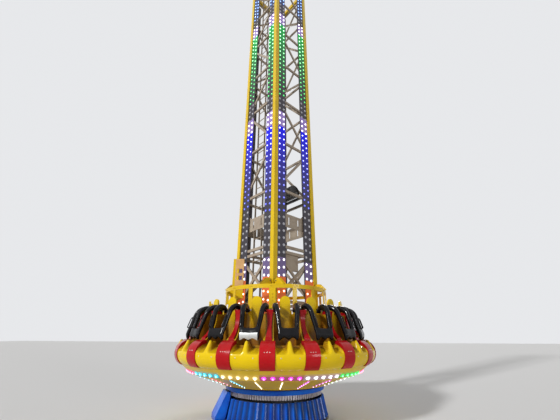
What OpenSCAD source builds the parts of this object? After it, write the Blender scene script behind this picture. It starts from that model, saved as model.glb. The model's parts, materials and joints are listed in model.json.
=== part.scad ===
// Travelling drop tower ride: a lattice tower on a slewing ring, with a ring-shaped
// carriage of eighteen outward-facing seats that is winched up and dropped.
// Millimetres, Z up, origin on the ground at the tower's axis, front corner leg towards -Y.

/* [Tower] */
// Outer width of the square tower over its corner legs
tower_w = 1522; // [1480:2:1560]
// Width of each square corner leg
leg_w = 125; // [105:5:140]
// Wall of each corner leg
leg_wall = 10; // [6:1:16]
// Height of one bay of bracing
bay_h = 1550; // [1500:10:1600]
// Number of braced bays above the splice bars
bays = 7; // [5:1:7]
// Height of one crossed bay below the splice bars
x_bay_h = 1170; // [1100:10:1200]
// Height of the upper splice bar above the ground
splice_z = 3650; // [3600:10:3750]
// Gap between the two splice bars, centre to centre
splice_pitch = 140; // [120:5:170]
// Depth of a bracing bar, seen on the tower's face
brace_h = 70; // [50:5:90]
// Thickness of a bracing bar, through the tower's face
brace_t = 50; // [30:5:60]
// Height of the foot of the portal band above the ground
portal_z = 4190; // [4100:10:4300]
// Depth of the portal band
portal_h = 370; // [300:10:420]
// Thickness of the portal band's plates
portal_t = 12; // [8:1:20]
// Width of a lamp plate beside a leg
lamp_plate_w = 300; // [260:5:330]
// Thickness of a lamp plate
lamp_plate_t = 5; // [4:1:8]
// Height of the foot of the lamp plates
lamp_plate_z = 1500; // [1400:10:1700]

/* [Ladder and machinery] */
// Width of the ladder over its stiles
ladder_w = 320; // [280:10:380]
// Pitch of the rungs
rung_pitch = 300; // [250:10:330]
// Radius of a rung
rung_r = 12; // [10:1:16]
// Radius of the lift chain's wheels
sheave_r = 150; // [120:5:180]
// Width of the lift chain
chain_w = 40; // [30:2:50]
// Thickness of the lift chain
chain_t = 16; // [12:1:24]
// Diameter of the lift motor
motor_d = 380; // [320:10:440]
// Length of the lift motor
motor_l = 560; // [480:10:640]

/* [Base] */
// Thickness of the base flange
base_t = 30; // [20:1:40]
// Radius of the anchor bolt circle
bolt_circle_r = 1000; // [960:5:1040]
// Radius of an anchor bolt hole
bolt_r = 15; // [11:1:18]
// Number of anchor bolts
bolts = 12; // [8:1:16]
// Height of the fluted skirt's top above the ground
pedestal_h = 400; // [360:5:430]
// How far the skirt flares outwards at the ground
pedestal_flare = 80; // [50:5:110]
// Width of the drive cover beside the pedestal
cover_w = 420; // [300:10:500]
// Number of flutes round the skirt
flutes = 48; // [36:2:60]
// Depth of a flute
flute_depth = 22; // [12:1:30]
// Running gap between the skirt and the gear
gear_gap = 40; // [30:1:60]
// Face width of the slewing gear
gear_h = 90; // [70:5:110]
// Number of teeth on the slewing gear
teeth = 120; // [90:1:130]
// Depth of a gear tooth
tooth_h = 36; // [24:1:40]
// Depth of the turntable ring
turntable_h = 88; // [70:2:110]

/* [Carriage] */
// Radial gap between the tower's corner edge and the carriage's top ring
carriage_gap = 186; // [170:2:210]
// Thickness of the carriage's flat bars
flat_t = 15; // [12:1:20]
// Height of the top ring above the ground
top_ring_z = 2575; // [2550:5:2650]
// Depth of the top ring
top_ring_h = 90; // [70:5:110]
// Number of posts round the carriage
posts = 16; // [12:4:16]
// Width of a post
post_w = 100; // [80:5:120]
// Height of the deck's top above the ground
deck_z = 1400; // [1390:1:1410]
// Depth of the deck's beams
deck_h = 100; // [80:5:120]
// Width of a deck arm
deck_arm_w = 80; // [60:5:100]
// Radius of a guide roller
roller_r = 60; // [50:1:70]
// Width of a guide roller
roller_w = 46; // [36:2:56]
// Highest point of the lift bracket
lift_bracket_top = 3460; // [3380:20:3540]

/* [Seats] */
// Number of seats round the carriage
seats = 18; // [18:1:18]
// Radial gap between the top ring and the seat backs
seat_gap = 358; // [350:2:380]
// Thickness of the seat mouldings
shell_t = 40; // [30:1:45]
// Depth of a seat, from its back to the skirt
seat_depth = 400; // [390:2:410]
// Thickness of the seat pan
pan_t = 40; // [30:1:50]
// Height of a seat's shoulder above the ground
shoulder_z = 2015; // [1980:5:2020]
// Height of the headrest's top above the ground
headrest_z = 2360; // [2330:5:2400]
// Radius of the headrest
headrest_r = 105; // [90:5:115]
// Half width of a divider at its waist
divider_waist = 40; // [30:1:42]
// Radius of the hourglass sides of a divider
divider_round = 1400; // [1300:50:1800]

/* [Skirt] */
// Radial round of the skirt's barrel shape
skirt_round = 240; // [220:5:250]
// Height of the skirt's widest point above the ground
skirt_mid_z = 1285; // [1270:5:1290]
// Height of the skirt's lower edge above the ground
skirt_z = 1070; // [1060:5:1090]
// Angle covered by a red stripe
stripe_deg = 6.8; // [5:0.2:8]
// How far a red stripe stands proud of the panels
stripe_proud = 15; // [8:1:20]
// Radius of a leg well in the skirt
well_r = 78; // [65:1:85]
// Distance of a leg well from the middle of its seat
well_pitch = 118; // [110:1:130]
// Downward slope of a leg well, in degrees
well_tilt = 18; // [12:1:26]
// Height of the lamp rim's lower edge above the ground
rim_z = 880; // [860:5:900]
// Inner radius of the lamp rim at its lower edge
rim_r = 1875; // [1850:5:1900]

/* [Harness] */
// Radius of the padded shoulder arms
arm_r = 45; // [38:1:48]
// Distance of an arm from the middle of the seat at the shoulder
arm_pitch = 200; // [190:2:205]
// Sideways lean of the arms towards the pad
arm_lean = 6.5; // [4:0.5:7]
// Bend radius of an arm
arm_bend = 202; // [190:2:210]
// Height of the harness pivot above the ground
pivot_z = 2090; // [2080:2:2100]
// Distance of the harness pivot behind the seat back's face
pivot_back = 70; // [66:1:74]
// Radius of the pivot tube
pivot_r = 22; // [18:1:24]
// Width of the belly pad
pad_w = 390; // [340:10:400]
// Height of the belly pad
pad_h = 150; // [120:5:160]
// Thickness of the belly pad
pad_t = 74; // [60:2:80]

/* [Clearances] */
// Running clearance at pins, races and rollers
fit_gap = 0.3; // [0.2:0.05:0.4]
// Gap between neighbouring mouldings
panel_gap = 2; // [1:0.5:3]
// Clear height between the turntable and the lowered carriage
rest_gap = 37; // [30:1:50]

/* [Hidden] */
$fn = 64;
fine_fn = 360;

// Tower
half_w = tower_w / 2;
corner_r = tower_w / sqrt(2);
face_y = half_w - leg_w / 2;
clear_w = tower_w - 2 * leg_w;
diagonal_t = brace_t - 12;
splice_lo_z = splice_z - splice_pitch;
leg_top = splice_z + bays * bay_h + brace_h + 30;
cap_h = 160;
lift_bracket_y = 241;
lift_plate_t = 18;
lift_tower_gap = 18;
portal_slot_w = 40;
portal_rail = 80;
gusset = 360;
shelf_beam = 60;
shelf_y = 250;
gear_case = [200, 360, 420];

// Base and turntable
turntable_r = corner_r + 46;
skirt_top_r = turntable_r - 22;
skirt_foot_r = skirt_top_r + pedestal_flare;
flange_r = skirt_foot_r + 10;
cover_angle = -66;
cover_t = 10;
cover_r = skirt_foot_r + 190;
cover_foot_h = base_t + 60;
gear_tip_r = turntable_r - 62;
gear_z = pedestal_h + gear_gap;
race_r = gear_tip_r - 160;
drum_r = race_r - 50;
turntable_z = gear_z + gear_h;
cover_top_z = turntable_z - 12;
leg_z = turntable_z + turntable_h;

// Lift chain, behind the front leg
chain_y = -corner_r + leg_w * 1.6 + sheave_r;
chain_lo = leg_z + 420;
chain_hi = leg_top - 260;
wheel_sill_h = 60;
beam_w = 90;
beam_h = 120;
sill_w = 120;
sill_half = face_y * sqrt(2) + chain_y - 15;
axle_r = 30;
axle_l = 240;
cheek_t = 20;
cheek_x = 100;

// Carriage
ring_r = corner_r + carriage_gap;
carriage_z = leg_z + rest_gap;
ring_out_r = ring_r + flat_t;
deck_in_r = ring_r - 32;
deck_out_r = ring_out_r + 63;
deck_arm_inset = 6;
under_h = 80;
pitch_deg = 360 / seats;

// Seats and skirt
back_x = ring_out_r + seat_gap + 25;
pan_z = deck_z + pan_t;
skirt_in_r = back_x + seat_depth;
skirt_r = skirt_in_r + skirt_round;
waist_z = 1800;
wing_t = 34;
seat_foot = 2;
divider_top = shoulder_z + 65;

// Harness
post_half = 22;
post_side = 32;
pivot_x = back_x - pivot_back;
bend_dx = arm_bend * cos(40);
bend_dz = arm_bend * sin(40);
bend_x = pivot_x + bend_dx;
bend_z = pivot_z - bend_dz;
pad_x = skirt_in_r + 8;
pad_z = skirt_mid_z + skirt_round + 30 + pad_h / 2;
pad_far = norm([pad_x - bend_x, pad_z - bend_z]);
leave_deg = atan2(pad_z - bend_z, pad_x - bend_x) + acos(arm_bend / pad_far);
arm_run = sqrt(pad_far * pad_far - arm_bend * arm_bend);

// Turns a child so that its +X points outwards at an angle from the front
module at(angle) {
    rotate([0, 0, angle - 90]) children();
}

// Extrudes an outline drawn as (radius, height) by a tangential width
module radial_slab(width) {
    rotate([90, 0, 0]) linear_extrude(height = width, center = true) children();
}

// Extrudes an outline drawn as (sideways, height) outwards from radius x
module facing_slab(x, thickness) {
    translate([x, 0, 0]) rotate([90, 0, 90]) linear_extrude(height = thickness) children();
}

// A ring of rectangular section
module flat_ring(r_in, r_out, z, h) {
    rotate_extrude() translate([r_in, z]) square([r_out - r_in, h]);
}

// Turns a child so that a face of the tower, 0 to 3 from the front right, looks along +X
module on_face(index) {
    rotate([0, 0, -45 + 90 * index]) children();
}

module base_flange() {
    color("dimgray")
    difference() {
        flat_ring(drum_r - 90, flange_r, 0, base_t);
        for (i = [0:bolts - 1])
            at(i * 360 / bolts + 15) translate([bolt_circle_r, 0, -1]) cylinder(r = bolt_r, h = base_t + 2);
    }
}

module pedestal_drum() {
    color("dimgray") {
        flat_ring(drum_r - 50, drum_r, base_t, gear_z - base_t - 15);
        flat_ring(drum_r - 90, race_r - fit_gap, gear_z - 15, gear_h);
        for (i = [0:11])
            at(i * 30) radial_slab(16)
                polygon([[drum_r - 10, base_t + 20], [drum_r + 4, base_t],
                    [skirt_top_r - 60, base_t], [skirt_top_r - 60, base_t + 40],
                    [drum_r + 30, gear_z - 60], [drum_r - 10, gear_z - 60]]);
    }
}

// The pleated outline of the skirt at the ground, one fold to a flute
function pleats(r, depth) = [for (i = [0:2 * flutes - 1])
    (r - (i % 2) * depth) * [cos(i * 180 / flutes), sin(i * 180 / flutes)]];

module pedestal_skirt() {
    color("royalblue")
    translate([0, 0, base_t])
        linear_extrude(height = pedestal_h - base_t, scale = skirt_top_r / skirt_foot_r) difference() {
            polygon(pleats(skirt_foot_r, flute_depth));
            polygon(pleats(skirt_foot_r - 2 * flute_depth, 0));
        }
}

module drive_cover() {
    color("royalblue")
    at(cover_angle) difference() {
        radial_slab(cover_w)
            polygon([[skirt_top_r - flute_depth, 0], [cover_r, 0], [cover_r, cover_foot_h],
                [turntable_r + 30, cover_top_z], [skirt_top_r - flute_depth, cover_top_z]]);
        radial_slab(cover_w - 2 * cover_t)
            polygon([[skirt_top_r - 60, -1], [cover_r - cover_t, -1], [cover_r - cover_t, cover_foot_h - 4],
                [turntable_r + 24, cover_top_z - cover_t], [skirt_top_r - 60, cover_top_z - cover_t]]);
        rotate_extrude()
            polygon([[0, -1], [flange_r + fit_gap, -1], [flange_r + fit_gap, base_t + fit_gap],
                [skirt_foot_r + fit_gap, base_t + fit_gap], [skirt_top_r + fit_gap, pedestal_h + 8],
                [gear_tip_r + 8, pedestal_h + 8], [gear_tip_r + 8, cover_top_z + 1], [0, cover_top_z + 1]]);
    }
}

function tooth(i) = let (p = 360 / teeth, r = gear_tip_r - tooth_h)
    [for (q = [[-0.30, r], [-0.14, gear_tip_r], [0.14, gear_tip_r], [0.30, r]])
        q[1] * [cos((i + q[0]) * p), sin((i + q[0]) * p)]];

module slewing_gear() {
    color("slategray")
    difference() {
        translate([0, 0, gear_z]) linear_extrude(height = gear_h)
            polygon([for (i = [0:teeth - 1]) each tooth(i)]);
        translate([0, 0, gear_z - 1]) cylinder(r = race_r, h = gear_h + 2, $fn = 96);
    }
}

module turntable_ring() {
    color("royalblue")
    rotate_extrude()
        polygon([[race_r + 10, turntable_z], [turntable_r - 8, turntable_z], [turntable_r, turntable_z + 8],
            [turntable_r, leg_z - 8], [turntable_r - 8, leg_z], [race_r + 10, leg_z]]);
}

module turntable_frame() {
    color("goldenrod") {
        for (i = [0:3])
            on_face(i) translate([face_y - beam_w / 2, -clear_w / 2, leg_z]) cube([beam_w, clear_w, beam_h]);
        for (s = [-1, 1])
            translate([0, 0, leg_z + beam_h / 2]) rotate([0, 0, s * 45])
                cube([2 * face_y, beam_w, beam_h - 20], center = true);
        translate([-sill_half, chain_y - sill_w / 2, leg_z]) cube([2 * sill_half, sill_w, wheel_sill_h]);
    }
}

module leg(index) {
    color("gold")
    on_face(index) translate([half_w - leg_w, -half_w, leg_z])
        linear_extrude(height = leg_top - leg_z) difference() {
            square(leg_w);
            translate([leg_wall, leg_wall]) square(leg_w - 2 * leg_wall);
        }
}

module leg_front() { leg(0); }
module leg_right() { leg(1); }
module leg_back() { leg(2); }
module leg_left() { leg(3); }

// A bar across the tower's face, its middle at height z
module cross_bar(z, h) {
    translate([face_y - brace_t / 2, -clear_w / 2, z - h / 2]) cube([brace_t, clear_w, h]);
}

// A diagonal from the foot of one leg of a bay to the head of the other
module diagonal(z0, z1, side) {
    rise = z1 - z0;
    run = norm([clear_w, rise]);
    intersection() {
        translate([face_y, 0, (z0 + z1) / 2]) rotate([side * atan2(rise, clear_w), 0, 0])
            cube([diagonal_t, run + 2 * brace_h, brace_h], center = true);
        translate([0, 4 - clear_w / 2, z0]) cube([2 * half_w, clear_w - 8, rise]);
    }
}

module lattice(index) {
    color("tan")
    on_face(index) {
        for (k = [0:bays])
            cross_bar(splice_z + k * bay_h, brace_h);
        cross_bar(splice_lo_z, brace_h);
        for (k = [1:bays - 1])
            diagonal(splice_z + k * bay_h, splice_z + (k + 1) * bay_h, k % 2 == 1 ? 1 : -1);
        for (k = [1:2]) {
            cross_bar(splice_lo_z - k * x_bay_h, brace_h);
            for (s = [-1, 1])
                diagonal(splice_lo_z - k * x_bay_h, splice_lo_z - (k - 1) * x_bay_h, s);
        }
    }
}

module lattice_front_right() { lattice(0); }
module lattice_back_right() { lattice(1); }
module lattice_back_left() { lattice(2); }
module lattice_front_left() { lattice(3); }

module lamp_plates(index) {
    color("dimgray")
    on_face(index)
        for (s = [-1, 1])
            translate([face_y + brace_t / 2, s * (clear_w - lamp_plate_w) / 2 - lamp_plate_w / 2, lamp_plate_z])
                cube([lamp_plate_t, lamp_plate_w, leg_top - lamp_plate_z - 200]);
}

module lamp_plates_front_right() { lamp_plates(0); }
module lamp_plates_back_right() { lamp_plates(1); }
module lamp_plates_back_left() { lamp_plates(2); }
module lamp_plates_front_left() { lamp_plates(3); }

module portal_band() {
    band_w = clear_w - 2 * lamp_plate_w;
    color("wheat")
    for (i = [0:3])
        on_face(i) {
            facing_slab(face_y - brace_t / 2, portal_t) difference() {
                translate([-clear_w / 2, portal_z]) square([clear_w, portal_h]);
                for (s = [-1, 1])
                    translate([s * band_w / 4, portal_z + portal_h / 2])
                        square([portal_slot_w, portal_h - 2 * portal_rail], center = true);
            }
            for (s = [-1, 1])
                facing_slab(face_y - brace_t / 2, portal_t) polygon([[s * clear_w / 2, portal_z + portal_h],
                    [s * (clear_w / 2 - gusset), portal_z + portal_h],
                    [s * clear_w / 2, portal_z + portal_h + gusset]]);
        }
}

module ladder() {
    foot = splice_lo_z - x_bay_h;
    top = splice_z + bays * bay_h;
    color("wheat")
    on_face(3) translate([face_y - brace_t / 2 - 50, 0, 0]) {
        for (s = [-1, 1])
            translate([0, s * (ladder_w - 12) / 2 - 6, foot]) cube([50, 12, top - foot]);
        for (z = [foot + 120 : rung_pitch : top - 60])
            translate([25, -ladder_w / 2 + 6, z]) rotate([-90, 0, 0]) cylinder(r = rung_r, h = ladder_w - 12, $fn = 24);
    }
}

module chain_outline(r) {
    translate([0, chain_lo]) circle(r = r);
    translate([0, chain_hi]) circle(r = r);
    translate([-r, chain_lo]) square([2 * r, chain_hi - chain_lo]);
}

module lift_chain() {
    color("wheat")
    translate([chain_w / 2, chain_y, 0]) rotate([90, 0, -90]) linear_extrude(height = chain_w) difference() {
        chain_outline(sheave_r + chain_t);
        chain_outline(sheave_r + fit_gap);
    }
}

module chain_wheels() {
    color("slategray") {
        for (z = [chain_lo, chain_hi])
            translate([-chain_w / 2, chain_y, z]) rotate([0, 90, 0]) cylinder(r = sheave_r, h = chain_w);
        for (z = [chain_lo, chain_hi])
            translate([-axle_l / 2, chain_y, z]) rotate([0, 90, 0]) cylinder(r = axle_r, h = axle_l);
        for (s = [-1, 1])
            translate([s * cheek_x - cheek_t / 2, chain_y - sill_w / 2, leg_z + wheel_sill_h])
                cube([cheek_t, sill_w, chain_lo - leg_z]);
        for (s = [-1, 1])
            translate([s * cheek_x - cheek_t / 2, chain_y - sill_w / 2, chain_hi - 2 * axle_r])
                cube([cheek_t, sill_w, leg_top - chain_hi + 2 * axle_r]);
    }
}

module lift_motor() {
    shelf_z = splice_z + bay_h + brace_h / 2;
    color("dimgray")
    on_face(0) {
        for (s = [-1, 1])
            translate([-face_y - brace_t / 2, shelf_y + (s * 5 - 1) * shelf_beam / 2, shelf_z])
                cube([2 * face_y + brace_t, shelf_beam, shelf_beam]);
        translate([-60, shelf_y, shelf_z + (shelf_beam + motor_d) / 2]) rotate([0, 90, 0])
            cylinder(d = motor_d, h = motor_l);
        translate([-40 - gear_case.x, shelf_y - gear_case.y / 2, shelf_z + shelf_beam]) cube(gear_case);
    }
}

module top_frame() {
    color("gold") {
        for (i = [0:3])
            on_face(i) translate([half_w - leg_w, -half_w, leg_top]) cube([leg_w, tower_w - leg_w, cap_h]);
        for (s = [-1, 1])
            translate([s * 100, 0, leg_top + 50]) cube([60, 2 * (corner_r - 150), 100], center = true);
    }
}

module landing_buffers() {
    color("black")
    for (i = [0:3])
        at(45 + 90 * i) translate([turntable_r - 60, 0, leg_z]) cylinder(r = 32, h = rest_gap - fit_gap);
}

module underside_ring() {
    color("gold")
    flat_ring(turntable_r - 12, ring_out_r, carriage_z, under_h);
}

module underside_cone() {
    color("gold")
    rotate_extrude()
        polygon([[ring_out_r + fit_gap, carriage_z + 8], [rim_r + 30, rim_z], [rim_r - 10, rim_z],
            [ring_out_r + fit_gap, carriage_z + 26]]);
}

module lamp_rim() {
    color("gold")
    rotate_extrude()
        polygon([[rim_r, rim_z], [rim_r + 40, rim_z], [skirt_in_r + 100, skirt_z], [skirt_in_r - 20, skirt_z]]);
}

module deck_frame() {
    color("goldenrod") {
        flat_ring(deck_in_r, deck_out_r, deck_z - deck_h, deck_h);
        flat_ring(back_x - 80, back_x + 60, deck_z - 40, 40);
        flat_ring(skirt_in_r - 50, skirt_in_r, skirt_z, deck_z - skirt_z);
        for (i = [0:seats - 1])
            at(i * pitch_deg) translate([deck_out_r - 10, -deck_arm_w / 2, deck_z - deck_h + deck_arm_inset])
                cube([skirt_in_r - deck_out_r - 20, deck_arm_w, deck_h - 2 * deck_arm_inset]);
        for (i = [0:seats - 1])
            at(i * pitch_deg) harness_post();
    }
}

// The post behind a divider, with blind bores for the pivot tubes of the seats on both sides
module harness_post() {
    difference() {
        translate([pivot_x - post_side, -post_half, deck_z - 10])
            cube([2 * post_side, 2 * post_half, pivot_z + post_side - deck_z + 10]);
        for (s = [-1, 1])
            rotate([0, 0, s * pitch_deg / 2]) translate([pivot_x, 0, pivot_z]) rotate([s * 90, 0, 0])
                cylinder(r = pivot_r + fit_gap, h = pivot_x * tan(pitch_deg / 2) - 8);
    }
}

module carriage_posts() {
    color("gold")
    for (i = [0:posts - 1])
        if (i != posts * 3 / 4)
            at(i * 360 / posts) {
                wide = i % (posts / 4) == 0 ? 40 : 0;
                translate([ring_r, -(post_w + wide) / 2, carriage_z + under_h])
                    cube([flat_t, post_w + wide, deck_z - deck_h - carriage_z - under_h]);
                translate([ring_r, -(post_w + wide) / 2, deck_z])
                    cube([flat_t, post_w + wide, top_ring_z - deck_z]);
            }
}

module carriage_top_ring() {
    color("gold")
    flat_ring(ring_r, ring_out_r, top_ring_z, top_ring_h);
}

roller_n = half_w + roller_r + fit_gap;
roller_t = half_w - 45 - roller_w / 2;

// Places children at the roller on each outer face of each leg
module at_rollers() {
    for (i = [0:3])
        on_face(i)
            for (s = [-1, 1])
                translate([0, s * roller_t, 0]) children();
}

module roller_brackets() {
    reach = sqrt(ring_out_r * ring_out_r - roller_t * roller_t);
    color("gold")
    for (z = [carriage_z + under_h, top_ring_z + top_ring_h])
        at_rollers()
            for (s = [-1, 1])
                translate([0, s * (roller_w / 2 + 9), 0]) difference() {
                    radial_slab(12) {
                        polygon([[roller_n - 40, z + 10], [reach - 20, z], [reach + 10, z],
                            [roller_n + 90, z + 150], [roller_n, z + 150]]);
                        translate([roller_n, z + 90]) circle(r = roller_r - 15);
                    }
                    translate([roller_n, 0, z + 90]) rotate([90, 0, 0]) cylinder(r = 15 + fit_gap, h = 40, center = true);
                }
}

module guide_rollers() {
    color("dimgray")
    for (z = [carriage_z + under_h, top_ring_z + top_ring_h])
        at_rollers()
            translate([roller_n, 0, z + 90]) rotate([90, 0, 0]) {
                cylinder(r = roller_r, h = roller_w, center = true);
                cylinder(r = 15, h = roller_w + 40, center = true);
            }
}

module lift_bracket() {
    root = fit_gap - sqrt(ring_r * ring_r - pow(lift_bracket_y + lift_plate_t, 2));
    inner = lift_bracket_y + lift_tower_gap - corner_r;
    color("gold")
    translate([0, -lift_bracket_y, 0]) rotate([90, 0, 0]) linear_extrude(height = lift_plate_t) difference() {
        polygon([[root, top_ring_z - 260], [root + 135, top_ring_z - 260], [root + 135, deck_z],
            [root + 235, deck_z], [root + 235, top_ring_z - 200], [inner, top_ring_z - 100],
            [inner, lift_bracket_top], [root + 135, lift_bracket_top],
            [root + 135, top_ring_z + top_ring_h - 10], [root, top_ring_z + top_ring_h - 10]]);
        translate([root + 70, top_ring_z - 200]) square([40, 180]);
        for (k = [0:3])
            translate([root + 235, lift_bracket_top - 190 - 180 * k]) square([inner - root - 275, 110]);
    }
}

// The sides of a divider, as an outline drawn as (sideways, height); grow widens it
module hourglass(grow) {
    side = divider_waist + divider_round;
    difference() {
        translate([-200, deck_z]) square([400, divider_top - deck_z]);
        for (s = [-1, 1])
            translate([s * side, waist_z]) circle(r = divider_round - grow, $fn = fine_fn);
    }
}

// The side view of a divider, as (radius, height)
module divider_profile(trim) {
    difference() {
        polygon([[back_x - shell_t / 2, deck_z], [back_x - shell_t / 2, shoulder_z], [back_x + 10, shoulder_z],
            [back_x + 80, divider_top - trim], [skirt_in_r - panel_gap, divider_top - trim],
            [skirt_in_r - panel_gap, deck_z]]);
        translate([skirt_in_r + 250, waist_z + 154]) circle(r = 451 + trim, $fn = 128);
    }
}

// Everything of a seat stays inside the skirt
module inside_skirt() {
    cylinder(r = skirt_in_r - panel_gap, h = headrest_z, $fn = fine_fn);
}

module seat_divider() {
    intersection() {
        inside_skirt();
        radial_slab(400) divider_profile(0);
        facing_slab(back_x - shell_t, seat_depth + 2 * shell_t) hourglass(0);
    }
}

module seat_dividers() {
    color("crimson")
    for (i = [0:seats - 1])
        at(i * pitch_deg) seat_divider();
}

// The barrel-shaped back of a seat with its headrest and scooped shoulders
module back_outline() {
    half = (back_x - shell_t) * tan(pitch_deg / 2);
    reach = divider_round - panel_gap;
    intersection() {
        translate([-half, deck_z]) square([2 * half, headrest_z - deck_z]);
        translate([half - divider_waist - divider_round, waist_z]) circle(r = reach, $fn = fine_fn);
        translate([divider_waist + divider_round - half, waist_z]) circle(r = reach, $fn = fine_fn);
        union() {
            translate([-half, deck_z]) square([2 * half, shoulder_z - deck_z]);
            translate([-headrest_r, shoulder_z - 10]) square([2 * headrest_r, headrest_z - headrest_r - shoulder_z + 10]);
            translate([0, headrest_z - headrest_r]) circle(r = headrest_r);
        }
    }
}

module seat() {
    half = pitch_deg / 2;
    facing_slab(back_x - shell_t, shell_t) back_outline();
    for (s = [-1, 1])
        rotate([0, 0, s * half]) intersection() {
            inside_skirt();
            radial_slab(400) divider_profile(30);
            facing_slab(back_x, seat_depth + shell_t) difference() {
                hourglass(wing_t);
                hourglass(panel_gap);
            }
            translate([0, s > 0 ? -500 : 0, deck_z + seat_foot]) cube([3000, 500, shoulder_z - deck_z]);
        }
    intersection() {
        cylinder(r = skirt_in_r - 5 * panel_gap, h = headrest_z, $fn = fine_fn);
        radial_slab(900) polygon([[back_x - 20, deck_z + 2 * seat_foot], [skirt_in_r, deck_z + 2 * seat_foot],
            [skirt_in_r, pan_z + 20], [skirt_in_r - 120, pan_z], [back_x - 20, pan_z - 12]]);
        rotate([0, 0, half]) translate([0, -1500 - divider_waist - 70, 0]) cube([3000, 1500, pan_z + 100]);
        rotate([0, 0, -half]) translate([0, divider_waist + 70, 0]) cube([3000, 1500, pan_z + 100]);
    }
}

// Seats of one quarter; the quarters hold five, four, five and four seats
module seat_block(first, count) {
    color("gold")
    for (i = [first:first + count - 1])
        at((i + 0.5) * pitch_deg) seat();
}

module seats_front_right() { seat_block(0, 5); }
module seats_back_right() { seat_block(5, 4); }
module seats_back_left() { seat_block(9, 5); }
module seats_front_left() { seat_block(14, 4); }

// The barrel-shaped section of the skirt, from an inner radius and grown by proud
module skirt_section(proud) {
    intersection() {
        translate([skirt_in_r, skirt_mid_z]) circle(r = skirt_round + proud, $fn = 96);
        translate([skirt_in_r + fit_gap, skirt_z]) square([skirt_round + proud, 2 * skirt_round]);
    }
}

module skirt_panel() {
    sweep = pitch_deg - stripe_deg - 0.1;
    difference() {
        rotate([0, 0, -sweep / 2]) rotate_extrude(angle = sweep, $fn = 180) skirt_section(0);
        for (s = [-1, 1])
            translate([skirt_in_r - 60, s * well_pitch, skirt_mid_z + 205]) rotate([0, 90 + well_tilt, 0]) {
                cylinder(r = well_r, h = 420);
                translate([-300, -well_r, 0]) cube([300, 2 * well_r, 420]);
            }
    }
}

module skirt_panels() {
    color("gold")
    for (i = [0:seats - 1])
        at((i + 0.5) * pitch_deg) skirt_panel();
}

module skirt_stripes() {
    color("crimson")
    for (i = [0:seats - 1])
        at(i * pitch_deg) rotate([0, 0, -stripe_deg / 2])
            rotate_extrude(angle = stripe_deg, $fn = 180) skirt_section(stripe_proud);
}

// One padded arm, from the pivot round the bend and down to the pad
module harness_arm() {
    translate([bend_x, 0, bend_z]) rotate([90, 0, 0]) {
        rotate([0, 0, leave_deg]) rotate_extrude(angle = 140 - leave_deg, $fn = 72) translate([arm_bend, 0]) circle(r = arm_r, $fn = 32);
        rotate([0, 0, leave_deg]) translate([arm_bend, 0, 0]) rotate([90, 0, 0]) cylinder(r = arm_r, h = arm_run, $fn = 32);
    }
}

module harness(number) {
    half_tube = pivot_x * tan(pitch_deg / 2) - 12;
    color("black")
    at((number - 0.5) * pitch_deg) {
        translate([pivot_x, 0, pivot_z]) rotate([90, 0, 0]) cylinder(r = pivot_r, h = 2 * half_tube, center = true);
        for (s = [-1, 1])
            translate([0, s * arm_pitch, pivot_z]) rotate([-s * arm_lean, 0, 0]) translate([0, 0, -pivot_z]) harness_arm();
        translate([pad_x, 0, pad_z]) rotate([90, 0, 90]) linear_extrude(height = pad_t, center = true) difference() {
            square([pad_w, pad_h], center = true);
            for (s = [-1, 1])
                translate([s * pad_w / 4, -pad_h / 2 - 60]) circle(r = 80);
        }
    }
}

module harness_01() { harness(1); }
module harness_02() { harness(2); }
module harness_03() { harness(3); }
module harness_04() { harness(4); }
module harness_05() { harness(5); }
module harness_06() { harness(6); }
module harness_07() { harness(7); }
module harness_08() { harness(8); }
module harness_09() { harness(9); }
module harness_10() { harness(10); }
module harness_11() { harness(11); }
module harness_12() { harness(12); }
module harness_13() { harness(13); }
module harness_14() { harness(14); }
module harness_15() { harness(15); }
module harness_16() { harness(16); }
module harness_17() { harness(17); }
module harness_18() { harness(18); }

base_flange();
pedestal_drum();
pedestal_skirt();
drive_cover();
slewing_gear();
turntable_ring();
turntable_frame();
leg_front();
leg_right();
leg_back();
leg_left();
lattice_front_right();
lattice_back_right();
lattice_back_left();
lattice_front_left();
lamp_plates_front_right();
lamp_plates_back_right();
lamp_plates_back_left();
lamp_plates_front_left();
portal_band();
ladder();
lift_chain();
chain_wheels();
lift_motor();
top_frame();
landing_buffers();
underside_ring();
underside_cone();
lamp_rim();
deck_frame();
carriage_posts();
carriage_top_ring();
roller_brackets();
guide_rollers();
lift_bracket();
seats_front_right();
seats_back_right();
seats_back_left();
seats_front_left();
seat_dividers();
skirt_panels();
skirt_stripes();
harness_01();
harness_02();
harness_03();
harness_04();
harness_05();
harness_06();
harness_07();
harness_08();
harness_09();
harness_10();
harness_11();
harness_12();
harness_13();
harness_14();
harness_15();
harness_16();
harness_17();
harness_18();
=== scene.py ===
"""The looks of a travelling drop tower ride: its lamps, padded shoulder bars, chain, fasteners and finishes."""

import json
import logging
import math
from abc import ABC, abstractmethod
from collections.abc import Callable, Sequence
from dataclasses import dataclass, field, replace
from enum import Enum

import bmesh
import bpy
from bpy.types import ID, Material, Mesh, Node, NodeSocket, NodeTree, Object
from mathutils import Matrix, Vector


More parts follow.
